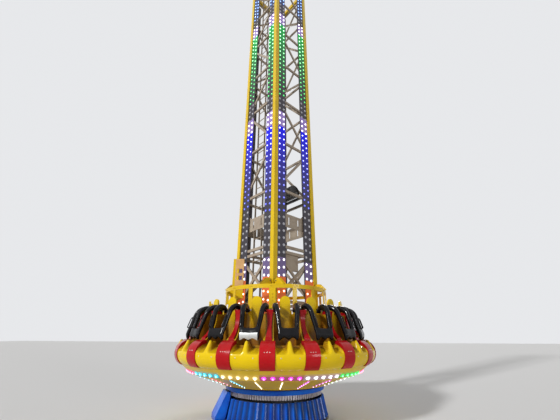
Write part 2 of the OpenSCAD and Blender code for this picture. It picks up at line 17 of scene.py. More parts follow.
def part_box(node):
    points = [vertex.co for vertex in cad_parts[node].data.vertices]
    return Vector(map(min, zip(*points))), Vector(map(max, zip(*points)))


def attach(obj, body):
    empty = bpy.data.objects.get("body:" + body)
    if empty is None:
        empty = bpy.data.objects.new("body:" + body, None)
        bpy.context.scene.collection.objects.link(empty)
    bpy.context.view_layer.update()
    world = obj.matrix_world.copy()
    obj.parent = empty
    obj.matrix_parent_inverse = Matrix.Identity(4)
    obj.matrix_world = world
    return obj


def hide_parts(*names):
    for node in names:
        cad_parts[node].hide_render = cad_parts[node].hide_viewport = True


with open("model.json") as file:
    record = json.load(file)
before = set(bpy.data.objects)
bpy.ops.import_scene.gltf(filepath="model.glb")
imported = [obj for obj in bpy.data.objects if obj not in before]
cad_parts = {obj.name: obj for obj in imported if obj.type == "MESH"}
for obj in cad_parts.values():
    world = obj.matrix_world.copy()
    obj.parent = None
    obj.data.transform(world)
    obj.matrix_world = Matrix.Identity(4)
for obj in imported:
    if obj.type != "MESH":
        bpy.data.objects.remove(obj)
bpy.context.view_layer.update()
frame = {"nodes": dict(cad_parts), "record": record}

LOG = logging.getLogger("drop_tower")
Colour = tuple[float, float, float]
Feed = NodeSocket | float | Colour
Loops = list[tuple[int, ...]]
Pair = tuple[float, float]
Pairs = tuple[Pair, ...]
Hill = tuple[float, float, float]
Hills = tuple[Hill, ...]
OUT = Vector((1, 0, 0))
NO_TINT: Colour = (1.0, 1.0, 1.0)


# ---------------------------------------------------------------- shared sizes and helpers


@dataclass(frozen=True)
class RideSizes:
    """The ride's main sizes, in metres, that more than one sub-assembly uses."""

    tower_side: float = 1.522
    leg: float = 0.125
    plate_width: float = 0.300
    plate_skin: float = 0.005
    brace: float = 0.050
    plate_foot: float = 1.500
    plate_head: float = 14.400
    seats: int = 18
    pivot_radius: float = 1.590
    pivot_height: float = 2.090
    skirt_centre: float = 2.060
    skirt_middle: float = 1.285
    skirt_round: float = 0.240
    stripe_proud: float = 0.015
    rim_radius: float = 1.875
    rim_foot: float = 0.880
    skirt_foot: float = 1.070

    @property
    def seat_pitch(self) -> float:
        """The angle from one seat to the next, in degrees."""
        return 360.0 / self.seats

    @property
    def face_out(self) -> float:
        """Distance from the tower's axis to the outer skin of a lamp plate."""
        return self.tower_side / 2 - self.leg / 2 + self.brace / 2 + self.plate_skin


SIZES = RideSizes()


def spoke(angle: float) -> Matrix:
    """A turn about the tower that points +X out at so many degrees from its front corner, rightwards."""
    return Matrix.Rotation(math.radians(angle - 90.0), 4, "Z")


def facet(index: int) -> Matrix:
    """A turn about the tower that points +X out of a face, counted anticlockwise from the front right one."""
    return Matrix.Rotation(math.radians(-45.0 + 90.0 * index), 4, "Z")


def aim(point: Vector, normal: Vector) -> Matrix:
    """A frame at a point whose +Z points along a normal."""
    return Matrix.Translation(point) @ normal.to_track_quat("Z", "X").to_matrix().to_4x4()


def waved(at: float, level: float, hills: Sequence[Hill]) -> float:
    """A level with round hills on it, each of some (height, middle, width)."""
    return sum((height * math.exp(-((at - middle) / width) ** 2) for height, middle, width in hills), start=level)


def blend(start: Colour, end: Colour, share: float) -> Colour:
    """The colour at a share of the way from one to another."""
    return tuple(a + (b - a) * share for a, b in zip(start, end))


def tube(rings: int, sides: int) -> Loops:
    """The faces of a tube of rings of points, the two ends last."""
    walls = [(a + i, a + (i + 1) % sides, a + sides + (i + 1) % sides, a + sides + i)
             for a in range(0, (rings - 1) * sides, sides) for i in range(sides)]
    return walls + [tuple(reversed(range(sides))), tuple(range((rings - 1) * sides, rings * sides))]


def link(name: str, data: ID) -> Object:
    """Makes an object.

    Args:
        name: Its name.
        data: Its mesh, lamp or camera.

    Returns:
        The object, linked into the scene.
    """
    thing = bpy.data.objects.new(name, data)
    bpy.context.scene.collection.objects.link(thing)
    return thing


# ---------------------------------------------------------------- shader nodes


class Wiring:
    """A shader node tree in the making: each call adds a node and wires it."""

    def __init__(self, tree: NodeTree) -> None:
        """Keeps the tree that is written."""
        self.tree = tree

    @classmethod
    def group(cls, name: str, **inputs: Feed) -> tuple["Wiring", bpy.types.bpy_prop_collection]:
        """Starts a node group.

        Args:
            name: The group's name.
            inputs: The default of each input, by its name; _ stands for a space.

        Returns:
            (the group's wiring, the sockets that its inputs come in by).
        """
        tree = bpy.data.node_groups.new(name, "ShaderNodeTree")
        for label, value in inputs.items():
            flat = not isinstance(value, tuple)
            socket = tree.interface.new_socket(label.replace("_", " "), in_out="INPUT",
                                               socket_type="NodeSocketFloat" if flat else "NodeSocketColor")
            socket.default_value = value if flat else (*value, 1.0)
        return cls(tree), tree.nodes.new("NodeGroupInput").outputs

    def close(self, **outputs: NodeSocket) -> NodeTree:
        """Gives the group its outputs.

        Args:
            outputs: The socket that each output shows, by its name.

        Returns:
            The group.
        """
        for label, socket in outputs.items():
            kind = "NodeSocketColor" if socket.type == "RGBA" else "NodeSocketFloat"
            self.tree.interface.new_socket(label, in_out="OUTPUT", socket_type=kind)
        self.fill(self.tree.nodes.new("NodeGroupOutput"), outputs)
        return self.tree

    def fill(self, node: Node, feeds: dict[str | int, Feed]) -> Node:
        """Wires a node's inputs to sockets, or sets them.

        Args:
            node: The node.
            feeds: What each input takes; a colour comes without its alpha.

        Returns:
            The node.
        """
        for name, feed in feeds.items():
            if isinstance(feed, NodeSocket):
                self.tree.links.new(feed, node.inputs[name])
            else:
                node.inputs[name].default_value = (*feed, 1.0) if isinstance(feed, tuple) else feed
        return node

    def add(self, kind: str, feeds: dict[str | int, Feed] | None = None) -> Node:
        """Adds a node of a kind and fills its inputs."""
        return self.fill(self.tree.nodes.new(f"ShaderNode{kind}"), feeds or {})

    def place(self, group: NodeTree, feeds: dict[str | int, Feed]) -> bpy.types.bpy_prop_collection:
        """Places a shared group.

        Args:
            group: The node group.
            feeds: What its inputs take.

        Returns:
            The sockets that its outputs leave by.
        """
        node = self.add("Group")
        node.node_tree = group
        return self.fill(node, feeds).outputs

    def math(self, operation: str, *values: Feed) -> NodeSocket:
        """Adds a sum.

        Args:
            operation: The math node's operation.
            values: What it works on.

        Returns:
            Its result.
        """
        node = self.add("Math")
        node.operation = operation
        return self.fill(node, dict(enumerate(values))).outputs["Value"]

    def mix(self, share: Feed, first: Feed, second: Feed, kind: str = "MIX") -> NodeSocket:
        """Mixes two colours.

        Args:
            share: How much the second one counts.
            first: The first colour.
            second: The second colour.
            kind: The way they mix.

        Returns:
            The mixture.
        """
        node = self.add("Mix")
        node.data_type, node.blend_type = "RGBA", kind
        return self.fill(node, {"Factor": share, "A": first, "B": second}).outputs["Result"]

    def span(self, value: Feed, ends: Pair, least: float = 0.0) -> NodeSocket:
        """Maps a value that lies between two ends onto least to 1."""
        feeds = {"Value": value, "From Min": ends[0], "From Max": ends[1], "To Min": least}
        return self.add("MapRange", feeds).outputs["Result"]

    def noise(self, scale: Feed, detail: float) -> NodeSocket:
        """A noise over the object's own coordinates."""
        where = self.add("TexCoord").outputs["Object"]
        return self.add("TexNoise", {"Vector": where, "Scale": scale, "Detail": detail}).outputs["Fac"]


@dataclass
class Effects:
    """Shader node groups that several finishes share; each is built once."""

    mottle_detail: float = 5.0
    mottle_span: Pair = (0.35, 0.70)
    grain_detail: float = 2.0
    wave_detail: float = 1.0
    lying_span: Pair = (-0.2, 1.0)
    hanging_share: float = 0.18
    dust_noise: Pair = (11.0, 6.0)
    dust_span: Pair = (0.42, 0.68)
    dust_roughness: float = 0.45
    edge_samples: int = 4
    edge_span: Pair = (0.995, 0.90)
    wear_noise: Pair = (36.0, 8.0)
    wear_span: Pair = (0.45, 0.62)
    # The occlusion that masks the painted shade in hollows.
    sky_samples: int = 6
    sky_span: Pair = (0.82, 0.42)

    def __post_init__(self) -> None:
        """Builds every group."""
        self.mottle, self.relief, self.dust = self._mottle(), self._relief(), self._dust()
        self.wear, self.painted_shade = self._wear(), self._painted_shade()

    def _mottle(self) -> NodeTree:
        """A slow drift between two colours, and a roughness that drifts with it.

        Returns:
            The group.
        """
        group, source = Wiring.group("Mottle", Colour=(1, 1, 1), Shade=(0, 0, 0), Scale=3.0, Roughness=0.4, Swing=0.1)
        drift = group.span(group.noise(source["Scale"], self.mottle_detail), self.mottle_span)
        return group.close(Colour=group.mix(drift, source["Colour"], source["Shade"]),
                           Roughness=group.math("MULTIPLY_ADD", drift, source["Swing"], source["Roughness"]))

    def _relief(self) -> NodeTree:
        """Fine grain over long waves, as a height in metres.

        Returns:
            The group.
        """
        group, source = Wiring.group("Relief", Grain_scale=300.0, Grain_height=0.0002, Wave_scale=8.0,
                                     Wave_height=0.001)
        grain = group.math("MULTIPLY", group.noise(source["Grain scale"], self.grain_detail), source["Grain height"])
        wave = group.noise(source["Wave scale"], self.wave_detail)
        return group.close(Height=group.math("MULTIPLY_ADD", wave, source["Wave height"], grain))

    def _dust(self) -> NodeTree:
        """Dust that settles in patches on what faces up, and a little everywhere.

        Returns:
            The group.
        """
        group, source = Wiring.group("Dust", Colour=(1, 1, 1), Dust=(0.3, 0.25, 0.2), Roughness=0.4, Amount=0.2)
        normal = group.add("NewGeometry").outputs["Normal"]
        rise = group.add("SeparateXYZ", {"Vector": normal}).outputs["Z"]
        lying = group.span(rise, self.lying_span, self.hanging_share)
        patches = group.span(group.noise(*self.dust_noise), self.dust_span)
        much = group.math("MULTIPLY", group.math("MULTIPLY", lying, patches), source["Amount"])
        return group.close(Colour=group.mix(much, source["Colour"], source["Dust"]),
                           Roughness=group.math("MULTIPLY_ADD", much, self.dust_roughness, source["Roughness"]))

    def _wear(self) -> NodeTree:
        """Paint rubbed and dirtied along the edges, broken up by a scratchy noise.

        Returns:
            The group.
        """
        group, source = Wiring.group("Edge wear", Colour=(1, 1, 1), Worn=(0.2, 0.2, 0.2), Width=0.006, Amount=0.5)
        bevel = group.add("Bevel", {"Radius": source["Width"]})
        bevel.samples = self.edge_samples
        dot = group.add("VectorMath")
        dot.operation = "DOT_PRODUCT"
        group.fill(dot, {0: bevel.outputs["Normal"], 1: group.add("NewGeometry").outputs["Normal"]})
        edge = group.span(dot.outputs["Value"], self.edge_span)
        scratches = group.span(group.noise(*self.wear_noise), self.wear_span)
        much = group.math("MULTIPLY", group.math("MULTIPLY", edge, scratches), source["Amount"])
        return group.close(Colour=group.mix(much, source["Colour"], source["Worn"]))

    def _painted_shade(self) -> NodeTree:
        """Painted shade: a deeper colour in hollows and corners, where the moulding would shade itself, masked by
        ambient occlusion.

        Returns:
            The group.
        """
        group, source = Wiring.group("PaintedShade", Colour=(1, 1, 1), Deep=(0, 0, 0), Amount=0.5, Reach=0.55)
        sky = group.add("AmbientOcclusion", {"Distance": source["Reach"]})
        sky.samples = self.sky_samples
        much = group.math("MULTIPLY", group.span(sky.outputs["AO"], self.sky_span), source["Amount"])
        return group.close(Colour=group.mix(much, source["Colour"], source["Deep"]))


# ---------------------------------------------------------------- finishes


@dataclass(frozen=True)
class Finish:
    """One surface finish, with what its surface shows at each scale."""

    name: str
    colour: Colour
    shade: Colour
    roughness: float = 0.35
    roughness_swing: float = 0.08
    metallic: float = 0.0
    coat: float = 0.0
    coat_roughness: float = 0.05
    specular: float = 0.5
    mottle_scale: float = 3.0
    grain_scale: float = 400.0
    grain_height: float = 0.0002
    wave_scale: float = 9.0
    wave_height: float = 0.001
    dust: float = 0.0
    dust_colour: Colour = (0.30, 0.26, 0.20)
    wear: float = 0.0
    wear_colour: Colour = (0.20, 0.16, 0.12)
    wear_width: float = 0.006
    tinted: bool = False
    glow: float = 0.0
    # Painted shade in hollows and corners: its amount, its colour and the reach of the occlusion that masks it.
    painted_shade: float = 0.0
    painted_shade_colour: Colour = (0.0, 0.0, 0.0)
    painted_shade_reach: float = 0.55


class Paintbox:
    """Builds one material for each finish and keeps it."""

    def __init__(self) -> None:
        """Builds the shared effects."""
        self.effects = Effects()
        self.made: dict[str, Material] = {}

    def get(self, finish: Finish) -> Material:
        """The material of a finish, built at its first use.

        Args:
            finish: The finish.

        Returns:
            Its material.
        """
        if finish.name not in self.made:
            self.made[finish.name] = self._build(finish)
        return self.made[finish.name]

    def _build(self, finish: Finish) -> Material:
        """Builds a material.

        Args:
            finish: What it shows.

        Returns:
            The material.
        """
        material = bpy.data.materials.new(finish.name)
        material.use_nodes = True
        material.diffuse_color = (*finish.colour, 1.0)
        tree, effects = Wiring(material.node_tree), self.effects
        shader = material.node_tree.nodes["Principled BSDF"]
        tree.fill(shader, {"Metallic": finish.metallic, "Specular IOR Level": finish.specular})
        if finish.coat:
            tree.fill(shader, {"Coat Weight": finish.coat, "Coat Roughness": finish.coat_roughness})
        mottle = tree.place(effects.mottle, {
            "Colour": finish.colour, "Shade": finish.shade, "Scale": finish.mottle_scale,
            "Roughness": finish.roughness, "Swing": finish.roughness_swing})
        colour, rough = mottle["Colour"], mottle["Roughness"]
        if finish.tinted:
            attribute = tree.add("Attribute")
            attribute.attribute_name = "tint"
            tint = attribute.outputs["Color"]
            colour = tree.mix(1.0, colour, tint, "MULTIPLY")
            if finish.glow:
                tree.fill(shader, {"Emission Color": tint, "Emission Strength": finish.glow})
        if finish.wear:
            colour = tree.place(effects.wear, {
                "Colour": colour, "Worn": finish.wear_colour, "Width": finish.wear_width,
                "Amount": finish.wear})["Colour"]
        # Painted shade: darkens the colour in hollows and corners.
        if finish.painted_shade:
            colour = tree.place(effects.painted_shade, {
                "Colour": colour, "Deep": finish.painted_shade_colour, "Amount": finish.painted_shade,
                "Reach": finish.painted_shade_reach})["Colour"]
        if finish.dust:
            dust = tree.place(effects.dust, {
                "Colour": colour, "Roughness": rough, "Dust": finish.dust_colour, "Amount": finish.dust})
            colour, rough = dust["Colour"], dust["Roughness"]
        relief = tree.place(effects.relief, {
            "Grain scale": finish.grain_scale, "Grain height": finish.grain_height,
            "Wave scale": finish.wave_scale, "Wave height": finish.wave_height})
        bump = tree.add("Bump", {"Distance": 1.0, "Strength": 1.0, "Height": relief["Height"]})
        tree.fill(shader, {"Base Color": colour, "Roughness": rough, "Normal": bump.outputs["Normal"]})
        return material


YELLOW_PAINT = Finish(
    "yellow_gloss_paint", (0.78, 0.53, 0.006), (0.70, 0.46, 0.006), roughness=0.30, coat=0.15, specular=0.18,
    grain_height=0.00003, wave_scale=6.0, wave_height=0.0006, dust=0.06, wear=0.55, wear_colour=(0.22, 0.13, 0.03))
# Its painted shade turns the seats' hollows brown.
YELLOW_GRP = Finish(
    "yellow_gelcoat", (0.84, 0.59, 0.003), (0.77, 0.53, 0.003), roughness=0.18, coat=0.18, specular=0.12,
    mottle_scale=2.0, grain_height=0.00005, wave_scale=5.0, wave_height=0.0016, dust=0.03, wear=0.25,
    wear_colour=(0.32, 0.18, 0.02), wear_width=0.008, painted_shade=1.0, painted_shade_colour=(0.26, 0.10, 0.008))
# Painted shade darkens the red mouldings' hollows.
RED_GRP = Finish(
    "red_gelcoat", (0.50, 0.006, 0.010), (0.40, 0.004, 0.008), roughness=0.18, coat=0.18, specular=0.10,
    mottle_scale=2.0, grain_height=0.00005, wave_scale=5.0, wave_height=0.0014, dust=0.05, wear=0.2,
    wear_colour=(0.20, 0.01, 0.01), wear_width=0.008, painted_shade=0.6, painted_shade_colour=(0.20, 0.003, 0.006))
BLACK_PAD = Finish(
    "black_moulded_skin", (0.003, 0.003, 0.004), (0.006, 0.005, 0.007), roughness=0.24, coat=0.28,
    coat_roughness=0.08, specular=0.09, mottle_scale=7.0, grain_scale=260.0, grain_height=0.0001, wave_scale=22.0,
    wave_height=0.0012)
# Painted light: the peach stands for warm lamp light on the yellow bracket's face.
PAINTED_WARM_LIGHT = Finish(
    "bracket_painted_warm_light", (0.76, 0.46, 0.20), (0.62, 0.35, 0.14), roughness=0.34, coat=0.2, specular=0.3,
    mottle_scale=4.0, grain_height=0.0001, dust=0.08, wear=0.6, wear_colour=(0.30, 0.14, 0.05))
CREAM_PAINT = Finish(
    "aged_cream_paint", (0.40, 0.33, 0.25), (0.30, 0.23, 0.17), roughness=0.45, mottle_scale=5.0, dust=0.35,
    wear=0.8, wear_colour=(0.16, 0.09, 0.05))
LAMP_PLATE = Finish(
    "lamp_plate_paint", (0.060, 0.052, 0.070), (0.085, 0.070, 0.080), roughness=0.38, mottle_scale=2.4,
    grain_height=0.0001, wave_scale=4.0, wave_height=0.0020, dust=0.25, wear=0.4, wear_colour=(0.25, 0.20, 0.16))
# Painted shade darkens the pedestal's hollows and the folds of its pleats, within a short reach.
BLUE_PAINT = Finish(
    "blue_gloss_paint", (0.001, 0.140, 0.74), (0.001, 0.070, 0.55), roughness=0.22, coat=0.2, specular=0.12,
    grain_height=0.00005, wave_height=0.0006, dust=0.03, wear=0.4, wear_colour=(0.06, 0.20, 0.50), painted_shade=1.0,
    painted_shade_colour=(0.0003, 0.012, 0.20), painted_shade_reach=0.14)
# The pedestal's blue with a tint for each face, which paints shade into the pleats' valleys.
FOLD_SHADED_BLUE = replace(BLUE_PAINT, name="blue_paint_fold_shade", tinted=True, painted_shade=0.0)
GEAR_STEEL = Finish(
    "greased_steel", (0.66, 0.63, 0.68), (0.40, 0.38, 0.42), roughness=0.30, roughness_swing=0.20, metallic=0.75,
    mottle_scale=14.0, dust=0.2, dust_colour=(0.07, 0.06, 0.05))
DARK_PAINT = Finish(
    "dark_machine_paint", (0.045, 0.046, 0.052), (0.07, 0.066, 0.066), roughness=0.42, dust=0.4, wear=0.5,
    wear_colour=(0.18, 0.12, 0.08))
RUBBER = Finish(
    "roller_rubber", (0.022, 0.021, 0.020), (0.036, 0.034, 0.032), roughness=0.68, grain_height=0.0004, dust=0.5)
BRIGHT_STEEL = Finish(
    "zinc_plated_steel", (0.62, 0.61, 0.58), (0.48, 0.46, 0.42), roughness=0.28, roughness_swing=0.16, metallic=1.0,
    mottle_scale=40.0, wave_scale=60.0, wave_height=0.0001, dust=0.2)
SILVER_FILM = Finish(
    "brushed_silver_film", (0.66, 0.67, 0.66), (0.52, 0.53, 0.53), roughness=0.34, roughness_swing=0.2,
    metallic=0.35, mottle_scale=60.0, grain_scale=500.0, grain_height=0.0003)
WHITE_BEZEL = Finish(
    "lamp_bezel", (0.80, 0.80, 0.80), (0.70, 0.70, 0.70), roughness=0.30, coat=0.3, tinted=True, glow=0.9)
LAMP_LENS = Finish(
    "lamp_lens", (1.0, 1.0, 1.0), (0.94, 0.94, 0.94), roughness=0.18, coat=0.5, tinted=True, glow=4.0)
DARK_LENS = Finish(
    "unlit_lamp_lens", (0.72, 0.72, 0.74), (0.60, 0.60, 0.62), roughness=0.22, coat=0.5, dust=0.1)
# Painted light: the skins on the tower's lamp plates glow with the tint of the lamps' light.
PLATE_PAINTED_GLOW = Finish(
    "lamp_plate_painted_glow", (1.0, 1.0, 1.0), (0.80, 0.80, 0.80), roughness=0.48, specular=0.2, mottle_scale=2.4,
    grain_height=0.0001, wave_scale=4.0, wave_height=0.0020, dust=0.03, tinted=True, glow=0.7)
# Painted light: the skin on the rim's yellow face glows with the tint of the rim lamps' light.
RIM_PAINTED_GLOW = Finish(
    "rim_paint_painted_glow", (1.0, 1.0, 1.0), (0.86, 0.86, 0.86), roughness=0.30, coat=0.15, specular=0.18,
    grain_height=0.0001, wave_scale=6.0, wave_height=0.0008, dust=0.04, tinted=True, glow=0.14)


class Slot(Enum):
    """The record's material slots."""

    YELLOW_PAINT = "yellow_paint"
    YELLOW_GRP = "grp_yellow"
    RED_GRP = "grp_red"
    BLACK_PAD = "harness_black"
    CREAM_PAINT = "cream_paint"
    LAMP_PLATE = "lamp_plate"
    BLUE_PAINT = "blue_paint"
    GEAR_STEEL = "gear_steel"
    DARK_PAINT = "dark_paint"
    RUBBER = "roller_rubber"


SLOT_FINISHES = {
    Slot.YELLOW_PAINT: YELLOW_PAINT, Slot.YELLOW_GRP: YELLOW_GRP, Slot.RED_GRP: RED_GRP, Slot.BLACK_PAD: BLACK_PAD,
    Slot.CREAM_PAINT: CREAM_PAINT, Slot.LAMP_PLATE: LAMP_PLATE, Slot.BLUE_PAINT: BLUE_PAINT,
    Slot.GEAR_STEEL: GEAR_STEEL, Slot.DARK_PAINT: DARK_PAINT, Slot.RUBBER: RUBBER}


# ---------------------------------------------------------------- mesh building


@dataclass
class Shape:
    """Vertices and faces of a piece in the making, with a finish and a tint for each face."""

    vertices: list[Vector] = field(default_factory=list)
    faces: Loops = field(default_factory=list)
    finish_of: list[int] = field(default_factory=list)
    tint_of: list[Colour] = field(default_factory=list)

    def add(self, points: Sequence[Vector], faces: Loops, place: Matrix | None = None, finish: int = 0,
            tint: Colour = NO_TINT) -> None:
        """Adds a patch.

        Args:
            points: The patch's own vertices.
            faces: Its faces, as indices into points.
            place: Where it goes; None leaves it in place.
            finish: Index of its finish.
            tint: Its tint.
        """
        base = len(self.vertices)
        self.vertices.extend(place @ p if place else p.copy() for p in points)
        self.faces.extend(tuple(base + i for i in loop) for loop in faces)
        self.finish_of.extend([finish] * len(faces))
        self.tint_of.extend([tint] * len(faces))

    def lathe(self, profile: Sequence[tuple[float, float]], place: Matrix, sides: int, finish: int = 0,
              tint: Colour = NO_TINT) -> None:
        """Adds a turned form about the +Z of a place.

        Args:
            profile: (radius, height) from one end to the other; a last radius of 0 is a tip.
            place: The frame it is turned in.
            sides: Number of sides.
            finish: Index of its finish.
            tint: Its tint.
        """
        turns = [math.tau * i / sides for i in range(sides)]
        points = [Vector((r * math.cos(t), r * math.sin(t), z)) for r, z in profile if r > 0 for t in turns]
        faces = tube(len(points) // sides, sides)
        radius, height = profile[-1]
        if radius == 0:
            rim = faces.pop()
            faces.extend((rim[i], rim[(i + 1) % sides], len(points)) for i in range(sides))
            points.append(Vector((0, 0, height)))
        self.add(points, faces, place, finish, tint)

    def sweep(self, path: Sequence[Vector], radius: Callable[[float], float], sides: int, place: Matrix) -> None:
        """Adds a tube along a path in the XZ plane.

        Args:
            path: Points along the tube's middle.
            radius: The radius at a share, 0 to 1, of the path.
            sides: Number of sides.
            place: Where it goes.
        """
        last = len(path) - 1
        points: list[Vector] = []
        side = Vector((0, 1, 0))
        for k, centre in enumerate(path):
            up = (path[min(k + 1, last)] - path[max(k - 1, 0)]).normalized().cross(side)
            size = radius(k / last)
            points.extend(centre + size * (math.cos(math.tau * i / sides) * side
                                           + math.sin(math.tau * i / sides) * up) for i in range(sides))
        self.add(points, tube(last + 1, sides), place)

    def block(self, low: Sequence[float], high: Sequence[float], place: Matrix, chamfer: float,
              tint: Colour = NO_TINT) -> None:
        """Adds a plate or bar.

        Args:
            low: Its lowest corner.
            high: Its highest corner.
            place: Where it goes.
            chamfer: Width of the chamfer along the edges that run in Z.
            tint: Its tint.
        """
        (x0, y0, z0), (x1, y1, z1), c = low, high, chamfer
        outline = [(x0 + c, y0), (x1 - c, y0), (x1, y0 + c), (x1, y1 - c), (x1 - c, y1), (x0 + c, y1),
                   (x0, y1 - c), (x0, y0 + c)]
        points = [Vector((x, y, z)) for z in (z0, z1) for x, y in outline]
        self.add(points, tube(2, len(outline)), place, 0, tint)

    def mesh(self, name: str, smooth: float | None = 40.0) -> Mesh:
        """Makes the Blender mesh.

        Args:
            name: Its name.
            smooth: Faces that meet below this angle shade as one; None shades flat.

        Returns:
            The mesh, with its tints in the colour attribute "tint".
        """
        mesh = bpy.data.meshes.new(name)
        mesh.from_pydata([tuple(v) for v in self.vertices], [], self.faces)
        mesh.update()
        mesh.polygons.foreach_set("material_index", self.finish_of)
        values: list[float] = []
        for polygon, colour in zip(mesh.polygons, self.tint_of):
            values.extend((*colour, 1.0) * polygon.loop_total)
        mesh.color_attributes.new("tint", "FLOAT_COLOR", "CORNER").data.foreach_set("color", values)
        if smooth is not None:
            mesh.polygons.foreach_set("use_smooth", [True] * len(mesh.polygons))
            mesh.set_sharp_from_angle(angle=math.radians(smooth))
        return mesh


@dataclass
class Workshop:
    """Turns shapes into pieces that ride on the frame's bodies."""

    paints: Paintbox
    made: int = 0

    def piece(self, name: str, form: Shape | Mesh, finishes: Sequence[Finish], body: str, slot: Slot,
              place: Matrix | None = None, smooth: float = 40.0) -> Object:
        """Makes a piece.

        Args:
            name: The piece's name.
            form: Its shape, or a mesh that may serve several pieces.
            finishes: Its finishes, in the order that the form counts them.
            body: The body it rides on.
            slot: The record's slot; not used.
            place: Where it goes; None leaves it in place.
            smooth: The angle below which a shape's faces shade as one.

        Returns:
            The object.
        """
        mesh = form.mesh(name, smooth) if isinstance(form, Shape) else form
        piece = link(name, mesh)
        if not mesh.materials:
            for finish in finishes:
                mesh.materials.append(self.paints.get(finish))
        if place is not None:
            piece.matrix_world = place
        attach(piece, body)
        self.made += 1
        LOG.info("%s: %d faces on %s", name, len(mesh.polygons), body)
        return piece


@dataclass
class SubAssembly(ABC):
    """A part of the ride that builds its own pieces in a workshop."""

    shop: Workshop

    @abstractmethod
    def build(self) -> None:
        """Builds and dresses its pieces."""


class FrameDress(SubAssembly):
    """Gives the frame's own solids their finishes."""

    def build(self) -> None:
        """Dresses every node by its slot."""
        slots = {row["node"]: row["material_slot"] for row in frame["record"]["subparts"]}
        for name, node in frame["nodes"].items():
            material = self.shop.paints.get(SLOT_FINISHES[Slot(slots[name])])
            node.data.materials.clear()
            node.data.materials.append(material)
            LOG.info("%s: %s", name, material.name)


# ---------------------------------------------------------------- lamps


class Glow(Enum):
    """The colours that the lamps show."""

    WARM = (1.00, 0.80, 0.42)
    WHITE = (1.00, 0.96, 1.00)
    BLUE = (0.06, 0.10, 1.00)
    GREEN = (0.03, 0.90, 0.14)
    CYAN = (0.05, 0.75, 1.00)
    MAGENTA = (1.00, 0.06, 0.90)
    ROSE = (1.00, 0.08, 0.22)
    SKY = (0.12, 0.36, 1.00)
    EMBER = (1.00, 0.30, 0.07)
    OFF = (0.034, 0.031, 0.038)


@dataclass(frozen=True)
class Lamp:
    """One round lamp: a flat bezel with a domed lens."""

    radius: float
    height: float
    sides: int
    lens_share: float = 0.55

    def put(self, shape: Shape, place: Matrix, colour: Colour, core: float = 0.6, lens: int = 1) -> None:
        """Adds the lamp to a shape whose first finish is the bezel's.

        Args:
            shape: The shape.
            place: The frame of its seat, +Z away from what carries it.
            colour: The colour it shows.
            core: How far the lens's crown goes towards white.
            lens: Index of the lens's finish.
        """
        r, h, edge = self.radius, self.height, self.lens_share * self.radius
        bezel = [(r, 0.0), (r, 0.2 * h), (0.80 * r, 0.30 * h), (0.90 * edge, 0.32 * h)]
        dome = [(edge, 0.30 * h), (0.87 * edge, 0.72 * h), (0.47 * edge, 0.95 * h), (0.0, h)]
        shape.lathe(bezel, place, self.sides, 0, colour)
        shape.lathe(dome, place, self.sides, lens, blend(colour, NO_TINT, core * max(colour)))


@dataclass(frozen=True)
class Band:
    """A band of lamps that show one glow, up to a height."""

    head: float
    glow: Glow
    low: float = 0.0
    high: float = 0.0
    core: float = 0.0


BANDS = (
    Band(2.86, Glow.EMBER, 1.0, 1.0, 0.75), Band(3.38, Glow.WHITE, 0.62, 0.62, 0.9), Band(4.55, Glow.OFF),
    Band(7.22, Glow.BLUE, 0.04, 1.0, 0.7), Band(7.80, Glow.WHITE, 1.0, 1.0, 0.9), Band(8.45, Glow.OFF),
    Band(11.75, Glow.GREEN, 0.04, 1.0, 0.7), Band(12.30, Glow.WHITE, 1.0, 1.0, 0.9), Band(12.75, Glow.OFF),
    Band(15.5, Glow.SKY, 0.6, 0.9, 0.4))
# Painted light: the tone and strength of each band's lamp glow as painted on the plates' skins.
PLATE_GLOW_TONES = {
    Glow.WHITE: ((0.26, 0.18, 0.46), 0.85), Glow.BLUE: ((0.004, 0.003, 0.58), 1.0),
    Glow.GREEN: ((0.003, 0.27, 0.055), 1.0), Glow.SKY: ((0.020, 0.060, 0.22), 0.8),
    Glow.EMBER: ((0.62, 0.13, 0.025), 0.85), Glow.OFF: (Glow.OFF.value, 1.0)}
# Painted light: the tone of each rim lamp's glow on the yellow face.
RIM_GLOW_TONES = {
    Glow.WARM: (0.80, 0.55, 0.10), Glow.MAGENTA: (0.42, 0.05, 0.22), Glow.WHITE: (0.46, 0.32, 0.46),
    Glow.GREEN: (0.12, 0.50, 0.12), Glow.CYAN: (0.06, 0.42, 0.50), Glow.ROSE: (0.52, 0.07, 0.07)}
RIM_GLOWS = (Glow.ROSE, Glow.CYAN, Glow.WARM, Glow.MAGENTA, Glow.WHITE, Glow.GREEN)
RIGHT_BAR_GLOWS = (Glow.WARM, Glow.MAGENTA, Glow.MAGENTA, Glow.WHITE, Glow.GREEN, Glow.CYAN, Glow.ROSE,
                   Glow.GREEN, Glow.CYAN, Glow.ROSE, Glow.CYAN, Glow.WARM)
LEFT_BAR_GLOWS = (Glow.WARM, Glow.CYAN, Glow.ROSE, Glow.CYAN, Glow.MAGENTA, Glow.GREEN)


